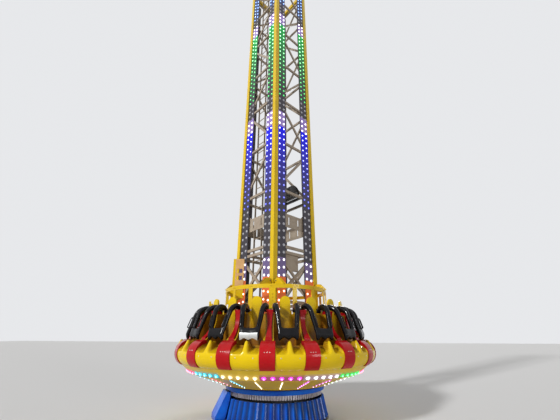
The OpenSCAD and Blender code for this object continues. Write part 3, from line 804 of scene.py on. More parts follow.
@dataclass
class TowerLamps(SubAssembly):
    """The two columns of lamps on each lamp plate, lit in bands that climb the tower."""

    columns: Pair = (0.200, 0.360)
    pitch: float = 0.185
    stagger: float = 0.030
    foot_gap: float = 0.11
    head_gap: float = 0.05
    lift: float = 0.28
    lift_from: float = 4.2
    skins: Pair = (0.0002, 0.0015)
    leg_gap: float = 0.0006
    fade: float = 1.9
    least_level: float = 0.35
    unlit: Colour = (0.20, 0.20, 0.23)
    lamp: Lamp = Lamp(0.036, 0.024, 10)

    def _band_at(self, height: float, lift: float) -> tuple[Band, float]:
        """The band that a height lies in.

        Args:
            height: Height above the ground.
            lift: How much higher the plate's upper bands sit.

        Returns:
            (the band, how brightly it shows there).
        """
        if height > self.lift_from:
            height -= lift
        feet = (0.0, *(band.head for band in BANDS))
        foot, band = next(pair for pair in zip(feet, BANDS) if height < pair[1].head)
        return band, band.low + (band.high - band.low) * (height - foot) / (band.head - foot)

    def build(self) -> None:
        """Builds the lamps of the four faces, and the thin skins over the plates that carry the lamps' light on them
        as painted glow.
        """
        for index, name in enumerate(("front_right", "back_right", "back_left", "front_left")):
            lamps, skins = Shape(), Shape()
            for side in (-1, 1):
                lift = self.lift if (index + (side > 0)) % 2 else 0.0
                self._skin(skins, index, side, lift)
                for number, inset in enumerate(self.columns):
                    y = side * (SIZES.tower_side / 2 - inset)
                    height = SIZES.plate_foot + self.foot_gap + (self.stagger if number else 0.0)
                    while height < SIZES.plate_head - self.head_gap:
                        band, level = self._band_at(height, lift)
                        seat = facet(index) @ aim(Vector((SIZES.face_out + self.skins[1], y, height)), OUT)
                        if level > 0.0:
                            shown = blend(Glow.OFF.value, band.glow.value, max(level, self.least_level))
                            self.lamp.put(lamps, seat, shown, band.core * level)
                        else:
                            self.lamp.put(lamps, seat, self.unlit, 0.0, 2)
                        height += self.pitch
            self.shop.piece(f"tower_lamps_{name}", lamps, [WHITE_BEZEL, LAMP_LENS, DARK_LENS], "tower",
                            Slot.LAMP_PLATE)
            self.shop.piece(f"painted_lamp_glow_{name}", skins, [PLATE_PAINTED_GLOW], "tower", Slot.LAMP_PLATE)

    def _skin(self, shape: Shape, index: int, side: int, lift: float) -> None:
        """Adds the skin over one lamp plate, in short lengths that each carry their band's glow as painted light.

        Args:
            shape: The shape.
            index: The tower's face.
            side: -1 or 1 for the plate's side of the face.
            lift: How much higher the plate's upper bands sit.
        """
        near = SIZES.tower_side / 2 - SIZES.leg - self.leg_gap
        ends = sorted((side * near, side * (near - SIZES.plate_width)))
        rise = SIZES.plate_head - SIZES.plate_foot
        count = round(rise / (self.pitch / 2))
        step = rise / count
        for k in range(count):
            foot = SIZES.plate_foot + k * step
            points = [Vector((SIZES.face_out + out, y, z)) for z in (foot, SIZES.plate_foot + (k + 1) * step)
                      for out in self.skins for y in ends]
            band, level = self._band_at(SIZES.plate_foot + (k + 0.5) * step, lift)
            # Painted light: the band's lamp glow is painted onto this length of skin as tint and emission.
            tone, strength = PLATE_GLOW_TONES[band.glow]
            loops = [(2, 3, 7, 6), (0, 4, 5, 1), (0, 2, 6, 4), (1, 5, 7, 3)]
            if k == 0:
                loops.append((0, 1, 3, 2))
            if k == count - 1:
                loops.append((4, 6, 7, 5))
            shape.add(points, loops, facet(index), 0, blend(Glow.OFF.value, tone, (level * strength) ** self.fade))


@dataclass
class CarriageLamps(SubAssembly):
    """The row of lamps round the carriage's rim, and the lit bars under its cone."""

    count: int = 80
    foot_out: float = 0.040
    head_out: float = 0.100
    row_height: float = 0.937
    row_turn: float = 0.52
    pale_core: float = 0.6
    deep_core: float = 0.12
    group: int = 5
    first_glow: int = 3
    skins: Pair = (0.0002, 0.0015)
    skin_turn: float = 0.02
    # The bands of painted lamp glow on the rim's face, fading away from the lamps, over the yellow paint.
    glow_edges: tuple[float, ...] = (0.06, 0.46, 0.62, 0.94)
    glow_strengths: tuple[float, ...] = (0.85, 0.40, 0.04)
    unlit_paint: Colour = (0.70, 0.47, 0.006)
    bars: int = 24
    bar_ends: Pairs = ((1.300, 0.679), (1.868, 0.867))
    bar_lamps: int = 6
    bar_width: float = 0.034
    bar_height: float = 0.006
    bar_chamfer: float = 0.002
    bar_tint: Pair = (0.75, 0.06)
    lamp: Lamp = Lamp(0.043, 0.032, 14, 0.42)
    small: Lamp = Lamp(0.016, 0.012, 8, 0.5)

    def build(self) -> None:
        """Builds the row, the bars and the skin with the lamps' painted glow."""
        self._row()
        self._bars()
        self._painted_glow()

    @staticmethod
    def _normal(low: Vector, high: Vector) -> Vector:
        """The outward normal of a face that rises from one point to another in the XZ plane."""
        rise = (high - low).normalized()
        return Vector((rise.z, 0, -rise.x))

    def _face(self) -> tuple[Vector, Vector, Vector]:
        """Places the rim's slanted face.

        Returns:
            Its (foot, head, normal), +X outwards.
        """
        low = Vector((SIZES.rim_radius + self.foot_out, 0, SIZES.rim_foot))
        high = Vector((SIZES.skirt_centre + self.head_out, 0, SIZES.skirt_foot))
        return low, high, self._normal(low, high)

    def _glow(self, i: int) -> Glow:
        """The colour of the row's lamp of that number, counted from the front corner."""
        number = i if i < self.count / 2 else i - self.count
        return RIM_GLOWS[(self.first_glow + (number + 1) // self.group) % len(RIM_GLOWS)]

    def _painted_glow(self) -> None:
        """Builds the thin skin on the rim's slanted face that carries the light of its lamps as painted glow."""
        low, high, normal = self._face()
        shape = Shape()
        for i in range(self.count):
            turns = [spoke((n + self.skin_turn) * 360.0 / self.count) for n in (i, (i + 1) % self.count)]
            for band, strength in enumerate(self.glow_strengths):
                points = [turn @ (low.lerp(high, share) + out * normal) for turn in turns for out in self.skins
                          for share in self.glow_edges[band:band + 2]]
                loops = [(0, 1, 5, 4), (2, 6, 7, 3)]
                if band == 0:
                    loops.append((0, 4, 6, 2))
                if band == len(self.glow_strengths) - 1:
                    loops.append((1, 3, 7, 5))
                # Painted light: each band blends the yellow paint towards its lamp's glow.
                shape.add(points, loops, None, 0, blend(self.unlit_paint, RIM_GLOW_TONES[self._glow(i)], strength))
        self.shop.piece("rim_painted_glow", shape, [RIM_PAINTED_GLOW], "gondola", Slot.YELLOW_PAINT)

    def _row(self) -> None:
        """Builds the row on the rim's slanted face."""
        low, high, normal = self._face()
        point = low.lerp(high, (self.row_height - low.z) / (high.z - low.z))
        shape = Shape()
        for i in range(self.count):
            glow = self._glow(i)
            place = spoke((i + self.row_turn) * 360.0 / self.count) @ aim(point, normal)
            core = self.pale_core if glow in (Glow.WARM, Glow.WHITE) else self.deep_core
            self.lamp.put(shape, place, glow.value, core)
        self.shop.piece("rim_lamps", shape, [WHITE_BEZEL, LAMP_LENS], "gondola", Slot.YELLOW_PAINT)

    def _bars(self) -> None:
        """Builds the radial bars on the cone's underside."""
        inner, outer = (Vector((radius, 0, height)) for radius, height in self.bar_ends)
        normal = self._normal(inner, outer)
        length, width = (outer - inner).length / 2, self.bar_width / 2
        strength, least = self.bar_tint
        shape = Shape()
        for i in range(self.bars):
            back = self.bars - 1 - i
            glow = RIGHT_BAR_GLOWS[i] if i <= back else LEFT_BAR_GLOWS[back % len(LEFT_BAR_GLOWS)]
            turn = spoke((i + 0.5) * 360.0 / self.bars)
            shape.block((-length, -width, 0.0), (length, width, self.bar_height),
                        turn @ aim(inner.lerp(outer, 0.5), normal), self.bar_chamfer,
                        tuple(strength * c + least for c in glow.value))
            for k in range(self.bar_lamps):
                spot = inner.lerp(outer, (k + 0.5) / self.bar_lamps) + self.bar_height * normal
                self.small.put(shape, turn @ aim(spot, normal), glow.value)
        self.shop.piece("underside_lamp_bars", shape, [WHITE_BEZEL, LAMP_LENS], "gondola", Slot.YELLOW_PAINT)


# ---------------------------------------------------------------- shoulder bars


@dataclass
class ShoulderBar(SubAssembly):
    """One moulded shoulder bar: two padded arms that run into a belly pad, with a grab loop on each arm."""

    bend: float = 0.202
    bend_from: float = 140.0
    bend_steps: int = 16
    straight_steps: int = 9
    girths: Pairs = ((0.0, 0.034), (0.16, 0.060), (0.30, 0.060), (0.55, 0.052), (0.88, 0.044), (1.0, 0.044))
    arm_sides: int = 16
    lean: float = 6.5
    spread: float = 0.200
    pad_radius: float = 2.068
    pad_height: float = 1.630
    pad_half: float = 0.200
    pad_top: float = 0.122
    pad_top_hills: Hills = ((0.020, 0.72, 0.20),)
    pad_low: float = -0.066
    pad_low_hills: Hills = ((-0.020, 0.0, 0.16), (0.022, 0.42, 0.20), (-0.050, 0.84, 0.17))
    pad_depth: float = 0.044
    pad_depth_shares: Pair = (0.80, 0.20)
    pad_slopes: Pair = (0.10, -0.16)
    pad_stations: int = 29
    pad_sides: int = 20
    pad_end: int = 6
    blunt: float = 0.72
    tube_radius: float = 0.020
    tube_gap: float = 0.012
    tube_chamfer: float = 0.002
    tube_sides: int = 20
    collar: Pairs = ((0.020, -0.042), (0.040, -0.040), (0.044, -0.030), (0.044, 0.030), (0.040, 0.040),
                     (0.020, 0.042))
    loop_radius: float = 0.010
    loop_sides: int = 10
    loop_steps: int = 5
    loop_outs: tuple[float, float, float] = (0.045, 0.068, 0.074)
    loop_drop: float = 0.012
    loop_rise: float = 0.12
    voxel: float = 0.009
    smoothings: int = 7

    def arm_path(self) -> list[Vector]:
        """Runs the middle of an arm in its own upright plane.

        Returns:
            Its points, from the pivot to the pad.
        """
        start = math.radians(self.bend_from)
        centre = Vector((SIZES.pivot_radius - self.bend * math.cos(start), 0,
                         SIZES.pivot_height - self.bend * math.sin(start)))
        gap = Vector((self.pad_radius, 0, self.pad_height)) - centre
        far = gap.length
        leave = math.degrees(math.atan2(gap.z, gap.x) + math.acos(self.bend / far))
        run = math.sqrt(far * far - self.bend * self.bend)
        path = []
        for k in range(self.bend_steps + 1):
            angle = math.radians(self.bend_from + (leave - self.bend_from) * k / self.bend_steps)
            path.append(centre + self.bend * Vector((math.cos(angle), 0, math.sin(angle))))
        down = Vector((math.sin(math.radians(leave)), 0, -math.cos(math.radians(leave))))
        path.extend([path[-1] + down * run * k / self.straight_steps for k in range(1, self.straight_steps + 1)])
        return path

    def _girth(self, share: float) -> float:
        """The arm's radius at a share of its length: full over the shoulder, slimmer towards its ends."""
        (a, first), (b, second) = next(pair for pair in zip(self.girths, self.girths[1:]) if share <= pair[1][0])
        return first + (second - first) * (share - a) / (b - a)

    def _tilt(self, side: int) -> Matrix:
        """Leans an arm towards the pad about the pivot's height, on its side."""
        return (Matrix.Translation((0, side * self.spread, SIZES.pivot_height))
                @ Matrix.Rotation(math.radians(-side * self.lean), 4, "X")
                @ Matrix.Translation((0, 0, -SIZES.pivot_height)))

    def _pad(self, shape: Shape) -> None:
        """Adds the belly pad: a dog-bone seen from the front, with two leg arches along its lower edge.

        Args:
            shape: The shape.
        """
        points: list[Vector] = []
        waist, swell = self.pad_depth_shares
        for k in range(self.pad_stations):
            share = -1.0 + 2.0 * k / (self.pad_stations - 1)
            a = abs(share)
            end = math.sqrt(max(0.0, 1.0 - a ** self.pad_end))
            top = waved(a, self.pad_top, self.pad_top_hills) * end
            low = waved(a, self.pad_low, self.pad_low_hills) * end
            deep = self.pad_depth * (waist + swell * a) * end
            for i in range(self.pad_sides):
                turn = math.tau * i / self.pad_sides
                c, s = math.cos(turn), math.sin(turn)
                z = (top if s > 0 else -low) * math.copysign(abs(s) ** self.blunt, s)
                x = deep * math.copysign(abs(c) ** self.blunt, c) + self.pad_slopes[z >= 0] * z
                points.append(Vector((self.pad_radius + x, self.pad_half * share, self.pad_height + z)))
        shape.add(points, tube(self.pad_stations, self.pad_sides))

    def _skin(self) -> Mesh:
        """Runs arms and pad into one moulded skin.

        Returns:
            The skin's mesh.
        """
        shape = Shape()
        for side in (-1, 1):
            shape.sweep(self.arm_path(), self._girth, self.arm_sides, self._tilt(side))
        self._pad(shape)
        mesh = shape.mesh("bar_rough", None)
        rough = link("bar_rough", mesh)
        remesh = rough.modifiers.new("skin", "REMESH")
        remesh.mode, remesh.voxel_size, remesh.adaptivity = "VOXEL", self.voxel, 0.0
        ease = rough.modifiers.new("ease", "SMOOTH")
        ease.factor, ease.iterations = 0.5, self.smoothings
        graph = bpy.context.evaluated_depsgraph_get()
        skin = bpy.data.meshes.new_from_object(rough.evaluated_get(graph))
        bpy.data.objects.remove(rough)
        bpy.data.meshes.remove(mesh)
        return skin

    def _fittings(self) -> Shape:
        """Shapes the pivot tube with its collars, and the grab loops.

        Returns:
            The shape.
        """
        shape = Shape()
        half = SIZES.pivot_radius * math.tan(math.radians(SIZES.seat_pitch / 2)) - self.tube_gap
        across = Matrix.Translation((SIZES.pivot_radius, 0, SIZES.pivot_height)) @ Matrix.Rotation(
            math.radians(90), 4, "X")
        r, c = self.tube_radius, self.tube_chamfer
        shape.lathe([(r - c, -half), (r, -half + c), (r, half - c), (r - c, half)], across, self.tube_sides, 1)
        path = self.arm_path()
        steps = self.loop_steps
        top, foot = path[self.bend_steps + 1], path[self.bend_steps + 1 + steps]
        out, drop = Vector((1, 0, self.loop_rise)).normalized(), Vector((0, 0, self.loop_drop))
        root, turn, grip = (reach * out for reach in self.loop_outs)
        loop = [top, top + root, top + turn - drop]
        loop += [top.lerp(foot, k / steps) + grip for k in range(1, steps)]
        loop += [foot + turn + drop, foot + root, foot]
        for side in (-1, 1):
            shape.lathe(self.collar, across @ Matrix.Translation((0, 0, -side * self.spread)), self.tube_sides)
            shape.sweep(loop, lambda share: self.loop_radius, self.loop_sides, self._tilt(side))
        return shape

    def _whole(self) -> Mesh:
        """Joins skin and fittings.

        Returns:
            The whole bar's mesh at the front seat, +X outwards.
        """
        both = bmesh.new()
        both.from_mesh(self._skin())
        for face in both.faces:
            face.smooth = True
        both.from_mesh(self._fittings().mesh("fittings"))
        whole = bpy.data.meshes.new("shoulder_bar")
        both.to_mesh(whole)
        both.free()
        return whole

    def build(self) -> None:
        """Builds a bar for each seat."""
        whole = self._whole()
        for number in range(1, SIZES.seats + 1):
            node = f"harness_{number:02d}"
            piece = self.shop.piece(f"shoulder_bar_{number:02d}", whole, [BLACK_PAD, BRIGHT_STEEL], node,
                                    Slot.BLACK_PAD, spoke((number - 0.5) * SIZES.seat_pitch))
            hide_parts(node)


@dataclass
class PadPlate(SubAssembly):
    """The bare silver plate on one belly pad."""

    seat: int = 18
    half: float = 0.170
    sheet: float = 0.003
    top: Pair = (0.034, 0.008)
    low: float = -0.066
    low_hills: Hills = ((-0.014, 0.0, 0.2), (0.014, 0.48, 0.2), (-0.022, 0.95, 0.2))
    bulge: float = 0.050
    bulge_half: float = 0.12
    bulge_ease: float = 0.004
    across: int = 26
    down: int = 8

    def build(self) -> None:
        """Builds the plate, curved as the pad's face and waved along its lower edge."""
        bar = ShoulderBar(self.shop)
        across, down = self.across, self.down
        points: list[Vector] = []
        for skin in (0.0, self.sheet):
            for k in range(across + 1):
                share = -1.0 + 2.0 * k / across
                a = abs(share)
                top = self.top[0] + self.top[1] * a
                low = waved(a, self.low, self.low_hills)
                for j in range(down + 1):
                    z = top + (low - top) * j / down
                    bulge = self.bulge * (1.0 - (z / self.bulge_half) ** 2) - self.bulge_ease * a
                    points.append(Vector((bar.pad_radius + bulge + skin, self.half * share, bar.pad_height + z)))
        row = down + 1
        back = len(points) // 2
        faces: Loops = []
        for k in range(across):
            for a in range(k * row, k * row + down):
                b = a + row
                faces += [(back + a, back + a + 1, back + b + 1, back + b), (a, b, b + 1, a + 1)]
        last = across * row
        rim = [*range(0, last, row), *range(last, last + down), *range(last + down, down, -row), *range(down, 0, -1)]
        faces += [(a, back + a, back + b, b) for a, b in zip(rim, rim[1:] + rim[:1])]
        shape = Shape()
        shape.add(points, faces)
        self.shop.piece("pad_plate", shape, [SILVER_FILM], f"harness_{self.seat:02d}", Slot.BLACK_PAD,
                        spoke((self.seat - 0.5) * SIZES.seat_pitch))


# ---------------------------------------------------------------- pedestal and skirt


@dataclass
class PleatedSkirt(SubAssembly):
    """The folded sheet round the pedestal, in the room of its plain flutes."""

    flutes: int = 48
    foot: Pair = (1.180, 0.030)
    head: Pair = (1.100, 0.400)
    depth: float = 0.046
    crispness: float = 0.9
    sheet: float = 0.003
    steps: int = 8
    valley_shade: float = 0.78

    def build(self) -> None:
        """Builds the sheet: a crisp ridge at each fold and a round valley between, with painted shade darkening each
        valley.
        """
        count = self.flutes * self.steps
        points: list[Vector] = []
        for radius, height in (self.foot, self.head):
            for skin in (0.0, self.sheet):
                for k in range(count):
                    fold = math.sin(math.pi * (k % self.steps) / self.steps) ** self.crispness
                    r = radius - self.depth * fold - skin
                    turn = math.tau * k / count
                    points.append(Vector((r * math.cos(turn), r * math.sin(turn), height)))
        inner, upper = count, 2 * count
        faces: Loops = []
        for k in range(count):
            m = (k + 1) % count
            faces += [(k, m, upper + m, upper + k), (inner + m, inner + k, inner + upper + k, inner + upper + m),
                      (upper + k, upper + m, inner + upper + m, inner + upper + k), (m, k, inner + k, inner + m)]
        shape = Shape()
        shape.add(points, faces)
        # Painted shade: each valley's faces are darkened by their tint, most at the fold's bottom.
        unshaded = [1.0 - self.valley_shade * math.sin(math.pi * (k % self.steps + 0.5) / self.steps) for k in range(count)]
        shape.tint_of = [(share, share, share) for share in unshaded for _ in range(4)]
        piece = self.shop.piece("pleated_skirt", shape, [FOLD_SHADED_BLUE], "pedestal", Slot.BLUE_PAINT, smooth=30.0)
        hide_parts("pedestal_skirt")


@dataclass
class SkirtMouldings(SubAssembly):
    """The yellow panel before each seat: a round apron with a broad hollow for each thigh and a pommel between."""

    sweep: float = 13.1
    columns: int = 56
    crown_steps: int = 26
    apron_steps: int = 8
    floor_front: float = 1.322
    floor_back: float = 1.420
    ridge_half: float = 0.20
    lip_from: float = 0.84
    lip_rise: float = 0.55
    pommel: Hill = (0.050, 0.135, 0.040)
    ease: float = 0.010
    root_height: float = 1.40
    root_drop: float = 0.02
    axis_gap: float = 0.0005

    def _height(self, reach: float, side: float, plain: float) -> float:
        """How high the moulding stands.

        Args:
            reach: Distance from the tower's axis.
            side: Distance from the panel's middle, 0 to 1.
            plain: Height of the round without hollows.

        Returns:
            The height with the hollow or the pommel in it.
        """
        depth = reach - SIZES.skirt_centre
        floor = self.floor_back + (self.floor_front - self.floor_back) * depth / SIZES.skirt_round
        ridge = math.exp(-((side / self.ridge_half) ** 3))
        lip = max(0.0, (side - self.lip_from) / (1.0 - self.lip_from))
        floor += (plain - floor) * min(1.0, ridge + self.lip_rise * lip * lip)
        floor += ridge * waved(depth, 0.0, [self.pommel])
        if ridge > 0.5:
            return floor
        return plain - self.ease * math.log1p(math.exp((plain - floor) / self.ease))

    def build(self) -> None:
        """Builds the ring of mouldings as one piece in place of the plain panels."""
        middle, radius = SIZES.skirt_middle, SIZES.skirt_round
        first = math.asin((SIZES.skirt_foot - middle) / radius)
        angles = [first * (1 - k / self.apron_steps) for k in range(self.apron_steps)]
        angles += [math.radians(90.0) * k / self.crown_steps for k in range(self.crown_steps + 1)]
        row = len(angles) + 2
        points: list[Vector] = []
        for column in range(self.columns + 1):
            share = -1.0 + 2.0 * column / self.columns
            turn = Matrix.Rotation(math.radians(share * self.sweep / 2), 4, "Z")
            for angle in angles:
                reach = SIZES.skirt_centre + max(self.axis_gap, radius * math.cos(angle))
                height = middle + radius * math.sin(angle)
                if angle > 0:
                    height = self._height(reach, abs(share), height)
                points.append(turn @ Vector((reach, 0, height)))
            for height in (min(points[-1].z, self.root_height) - self.root_drop, SIZES.skirt_foot):
                points.append(turn @ Vector((SIZES.skirt_centre + self.axis_gap, 0, height)))
        faces = [(a + j, a + row + j, a + row + (j + 1) % row, a + (j + 1) % row)
                 for a in range(0, self.columns * row, row) for j in range(row)]
        faces += tube(self.columns + 1, row)[-2:]
        shape = Shape()
        for seat in range(SIZES.seats):
            shape.add(points, faces, spoke((seat + 0.5) * SIZES.seat_pitch))
        piece = self.shop.piece("skirt_mouldings", shape, [YELLOW_GRP], "gondola", Slot.YELLOW_GRP, smooth=50.0)
        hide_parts("skirt_panels")


# ---------------------------------------------------------------- chain, sheets and fasteners


@dataclass
class LiftChain(SubAssembly):
    """The lift chain's links, in the room of its plain loop."""

    pitch: float = 0.050
    thick: float = 0.016
    reach: float = 0.62
    depth: float = 0.45
    gaps: Pair = (0.006, 0.011)
    plate: float = 0.002
    pin: float = 0.006
    pin_sides: int = 8
    chamfer: float = 0.0015

    def build(self) -> None:
        """Builds the links round both wheels: up one side, over the top, and the same turned over."""
        low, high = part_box("lift_chain")
        across, middle = (high.y - low.y) / 2, (high.y + low.y) / 2
        radius = across - self.thick / 2
        foot, head = low.z + across, high.z - across
        run = head - foot
        total = 2 * (run + math.pi * radius)
        half = round(total / self.pitch / 2)
        long, deep = self.pitch * self.reach, self.thick * self.depth
        shape = Shape()
        for k in range(2 * half):
            end, way = (foot, 1) if k < half else (head, -1)
            gone = total * (k % half) / (2 * half)
            turn = max(0.0, (gone - run) / radius)
            point = Vector((0, middle - way * radius * math.cos(turn),
                            end + way * (min(gone, run) + radius * math.sin(turn))))
            along = way * Vector((0, math.sin(turn), math.cos(turn)))
            out = along.cross(OUT)
            place = Matrix.Translation(point) @ Matrix((OUT, along, out)).transposed().to_4x4()
            for side in (-1, 1):
                x = side * self.gaps[k % 2]
                shape.block((x - self.plate, -long, -deep), (x + self.plate, long, deep), place, self.chamfer)
            pin = place @ Matrix.Translation((0, self.pitch / 2, 0)) @ Matrix.Rotation(math.pi / 2, 4, "Y")
            shape.lathe([(self.pin, -self.thick), (self.pin, self.thick)], pin, self.pin_sides)
        piece = self.shop.piece("chain_links", shape, [CREAM_PAINT], "tower", Slot.GEAR_STEEL, smooth=30.0)
        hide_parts("lift_chain")


@dataclass
class CoverPlate(SubAssembly):
    """The cream sheet with folded edges that hangs from the lower splice bar of the front right face."""

    low: Pair = (-0.325, 3.085)
    high: Pair = (0.150, 3.530)
    fold: float = 0.045
    sheet: float = 0.003
    chamfer: float = 0.001
    gap: float = 0.0005

    def build(self) -> None:
        """Builds the plate and its four folded edges."""
        t = self.sheet
        back = SIZES.tower_side / 2 - SIZES.leg / 2 - SIZES.brace / 2 - self.gap - t
        rim = back - self.fold
        (y0, z0), (y1, z1) = self.low, self.high
        shape = Shape()
        for low, high in (((back, y0, z0), (back + t, y1, z1)), ((rim, y0, z0), (back, y0 + t, z1)),
                          ((rim, y1 - t, z0), (back, y1, z1)), ((rim, y0 + t, z0), (back, y1 - t, z0 + t)),
                          ((rim, y0 + t, z1 - t), (back, y1 - t, z1))):
            shape.block(low, high, facet(0), self.chamfer)
        self.shop.piece("cover_plate", shape, [CREAM_PAINT], "tower", Slot.CREAM_PAINT)


@dataclass
class BracketLightSheet(SubAssembly):
    """A thin sheet of painted warm light on the face of the yellow lift bracket, with openings where the plate has
    them.
    """

    left: float = 0.198
    window: float = 0.235
    edge_gap: float = 0.001
    face_gap: float = 0.0003
    sheet: float = 0.002
    foot: float = 2.668
    first: float = 0.190
    pitch: float = 0.180
    opening: float = 0.110
    rib: float = 0.040
    open_rows: tuple[int, ...] = (3, 5)

    def build(self) -> None:
        """Builds the sheet as one grid of cells, less its openings."""
        low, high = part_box("lift_bracket")
        xs = (low.x + self.left, low.x + self.window, high.x - self.rib, high.x - self.edge_gap)
        zs = [high.z - self.edge_gap]
        for k in range(4):
            foot = high.z - self.first - self.pitch * k
            zs += [foot + self.opening, foot]
        zs.append(self.foot)
        cells = {(i, k) for i in range(3) for k in range(len(zs) - 1) if i != 1 or k not in self.open_rows}
        number: dict[tuple[int, int, int], int] = {}
        faces: Loops = []
        for i, k in sorted(cells):
            corner = [number.setdefault((i + across, k + 1 - up, out), len(number))
                      for out in (0, 1) for up in (0, 1) for across in (0, 1)]
            beside = {(i - 1, k): (0, 4, 6, 2), (i + 1, k): (1, 3, 7, 5), (i, k - 1): (2, 6, 7, 3),
                      (i, k + 1): (0, 1, 5, 4)}
            loops = [(0, 2, 3, 1), (4, 5, 7, 6), *(loop for cell, loop in beside.items() if cell not in cells)]
            faces.extend(tuple(corner[n] for n in loop) for loop in loops)
        front = low.y - self.face_gap
        shape = Shape()
        # Painted light: the sheet's peach colour is warm lamp light on the yellow plate.
        shape.add([Vector((xs[i], front - self.sheet * out, zs[k])) for i, k, out in number], faces)
        self.shop.piece("bracket_painted_light", shape, [PAINTED_WARM_LIGHT], "gondola", Slot.CREAM_PAINT)


@dataclass
class Fasteners(SubAssembly):
    """Bolt heads and rivets."""

    stripe_rivets: tuple[float, ...] = (-0.045, 0.0, 0.045)
    stripe_rivet: float = 0.009
    stripe_lift: float = 17.0
    panel_rivets: tuple[float, ...] = (-0.160, 0.160)
    panel_rivet: float = 0.010
    panel_lift: float = -4.0
    posts: int = 16
    bolted_every: int = 4
    bracket_post: int = 12
    post_bolts: tuple[float, ...] = (2.31, 2.38, 2.45)
    post_bolt: float = 0.013
    post_sink: float = 0.0004
    ring_radius: float = 1.2772
    ring_height: float = 2.62
    ring_spread: float = 1.1
    ring_bolt: float = 0.010
    splice_bolt: float = 0.012
    splice_depth: float = 0.0376
    splice_heights: tuple[float, ...] = (4.23, 4.52)
    splice_bolts: tuple[float, ...] = (-0.60, -0.50, 0.50, 0.60)

    @staticmethod
    def _bolt(shape: Shape, place: Matrix, radius: float) -> None:
        """Adds a hexagon head on its washer; the radius is half of its width over corners."""
        shape.lathe([(1.35 * radius, 0), (1.35 * radius, 0.2 * radius), (1.1 * radius, 0.22 * radius)], place, 14)
        shape.lathe([(radius, 0.2 * radius), (radius, 0.8 * radius), (0.86 * radius, 0.95 * radius)], place, 6)

    @staticmethod
    def _rivets(shape: Shape, angle: float, offsets: Sequence[float], proud: float, lift: float,
                radius: float) -> None:
        """Adds round heads side by side on the skirt's round.

        Args:
            shape: The shape.
            angle: The spoke that their row is centred on.
            offsets: How far each one sits along the round.
            proud: How far the moulding that carries them stands out of the panels.
            lift: The angle above the horizontal through the round's middle.
            radius: Radius of a head.
        """
        normal = Vector((math.cos(math.radians(lift)), 0, math.sin(math.radians(lift))))
        point = Vector((SIZES.skirt_centre, 0, SIZES.skirt_middle)) + (SIZES.skirt_round + proud) * normal
        head = [(radius, -0.001), (0.92 * radius, 0.25 * radius), (0.55 * radius, 0.5 * radius), (0, 0.6 * radius)]
        for offset in offsets:
            shape.lathe(head, spoke(angle + math.degrees(offset / point.x)) @ aim(point, normal), 10)

    def build(self) -> None:
        """Builds all fasteners, one piece for each body and place."""
        skirt, ring, tower = Shape(), Shape(), Shape()
        for i in range(SIZES.seats):
            self._rivets(skirt, i * SIZES.seat_pitch, self.stripe_rivets, SIZES.stripe_proud, self.stripe_lift,
                         self.stripe_rivet)
            self._rivets(skirt, (i + 0.5) * SIZES.seat_pitch, self.panel_rivets, 0.0, self.panel_lift,
                         self.panel_rivet)
        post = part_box("carriage_posts")[1].x - self.post_sink
        for i in (n for n in range(self.posts) if n != self.bracket_post):
            angle = i * 360.0 / self.posts
            for height in self.post_bolts if i % self.bolted_every == 0 else ():
                self._bolt(ring, spoke(angle) @ aim(Vector((post, 0, height)), OUT), self.post_bolt)
            for side in (-1, 1):
                place = aim(Vector((self.ring_radius, 0, self.ring_height)), OUT)
                self._bolt(ring, spoke(angle + side * self.ring_spread) @ place, self.ring_bolt)
        splice = SIZES.face_out - SIZES.plate_skin - self.splice_depth
        for index in range(4):
            for height in self.splice_heights:
                for y in self.splice_bolts:
                    self._bolt(tower, facet(index) @ aim(Vector((splice, y, height)), OUT), self.splice_bolt)
        self.shop.piece("skirt_rivets", skirt, [BRIGHT_STEEL], "gondola", Slot.GEAR_STEEL)
        self.shop.piece("carriage_bolts", ring, [YELLOW_PAINT], "gondola", Slot.YELLOW_PAINT)
        self.shop.piece("tower_bolts", tower, [BRIGHT_STEEL], "tower", Slot.GEAR_STEEL)


# ---------------------------------------------------------------- camera and studio


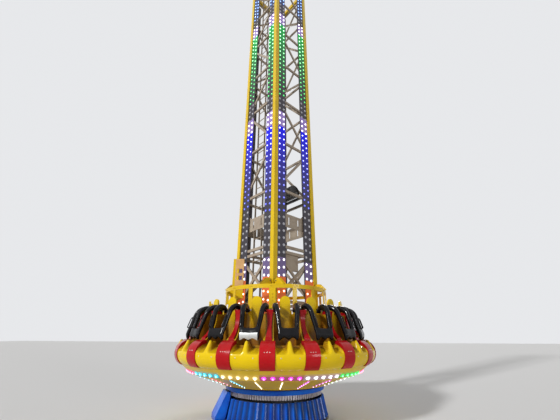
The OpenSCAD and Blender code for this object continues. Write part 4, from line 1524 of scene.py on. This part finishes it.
@dataclass
class Studio:
    """Camera, floor, light and background."""

    eye: tuple[float, float, float] = (0.470, -7.756, 1.650)
    off_axis: float = 0.72
    pitch: float = 23.04
    roll: float = 0.24
    lens: float = 18.72
    sensor: float = 36.0
    clip_end: float = 200.0
    floor_half: float = 60.0
    floor_colour: Colour = (0.72, 0.72, 0.72)
    floor_roughness: float = 0.85
    soft_colour: Colour = (1.0, 0.98, 0.95)
    soft_strength: float = 0.28
    pale_colour: Colour = (0.80, 0.81, 0.83)

    def _camera(self) -> None:
        """Sets the camera where the photograph was taken from."""
        data = bpy.data.cameras.new("photo_view")
        data.lens, data.sensor_width, data.clip_end = self.lens, self.sensor, self.clip_end
        camera = link("photo_view", data)
        heading = math.atan2(-self.eye[0], -self.eye[1]) + math.radians(self.off_axis)
        pitch, roll = math.radians(self.pitch), math.radians(self.roll)
        ahead = Vector((math.sin(heading) * math.cos(pitch), math.cos(heading) * math.cos(pitch), math.sin(pitch)))
        right = Vector((math.cos(heading), -math.sin(heading), 0.0))
        tilted = right * math.cos(roll) + right.cross(ahead) * math.sin(roll)
        turn = Matrix((tilted, tilted.cross(ahead), -ahead)).transposed()
        camera.matrix_world = Matrix.Translation(self.eye) @ turn.to_4x4()
        bpy.context.scene.camera = camera

    def _floor(self) -> None:
        """Lays a plain pale floor."""
        mesh = bpy.data.meshes.new("floor")
        r = self.floor_half
        mesh.from_pydata([(-r, -r, 0), (r, -r, 0), (r, r, 0), (-r, r, 0)], [], [(0, 1, 2, 3)])
        material = bpy.data.materials.new("pale_floor")
        material.use_nodes = True
        tree = material.node_tree
        Wiring(tree).fill(tree.nodes["Principled BSDF"], {
            "Base Color": self.floor_colour, "Roughness": self.floor_roughness})
        mesh.materials.append(material)
        link("floor", mesh)

    def _world(self) -> None:
        """Lights all round softly, with a pale background for the camera and for reflections."""
        world = bpy.data.worlds.new("studio")
        world.use_nodes = True
        tree, nodes = Wiring(world.node_tree), world.node_tree.nodes
        soft = tree.fill(nodes["Background"], {"Color": self.soft_colour, "Strength": self.soft_strength})
        pale = tree.add("Background", {"Color": self.pale_colour})
        path = tree.add("LightPath").outputs
        mirrored = tree.math("MAXIMUM", path["Is Glossy Ray"], path["Is Transmission Ray"])
        seen = tree.math("MAXIMUM", path["Is Camera Ray"], mirrored)
        both = tree.add("MixShader", {"Fac": seen, 1: soft.outputs["Background"], 2: pale.outputs["Background"]})
        tree.fill(nodes["World Output"], {"Surface": both.outputs["Shader"]})
        bpy.context.scene.world = world

    @staticmethod
    def _sun(name: str, strength: float, angle: float, towards: Sequence[float]) -> None:
        """Adds a broad distant lamp.

        Args:
            name: Its name.
            strength: Its strength.
            angle: How broad it looks, in degrees.
            towards: The direction that its light travels in.
        """
        data = bpy.data.lights.new(name, "SUN")
        data.energy, data.angle = strength, math.radians(angle)
        link(name, data).rotation_euler = Vector(towards).to_track_quat("-Z", "Y").to_euler()

    def build(self) -> None:
        """Sets the whole studio up."""
        bpy.context.scene.view_settings.view_transform = "Standard"
        self._camera()
        self._floor()
        self._world()
        self._sun("key", 2.5, 6.0, (0.80, 0.80, -0.55))
        self._sun("fill", 0.5, 14.0, (-0.9, 0.8, -0.15))
        self._sun("back", 0.7, 12.0, (-0.2, -1.0, -0.6))
        LOG.info("studio set")


def main() -> None:
    """Builds the ride's looks."""
    logging.basicConfig(level=logging.INFO, format="%(message)s")
    shop = Workshop(Paintbox())
    Studio().build()
    for part in (FrameDress, TowerLamps, CarriageLamps, ShoulderBar, PadPlate, SkirtMouldings, PleatedSkirt,
                 LiftChain, CoverPlate, BracketLightSheet, Fasteners):
        part(shop).build()
    LOG.info("%d pieces made", shop.made)


if __name__ == "__main__":
    main()
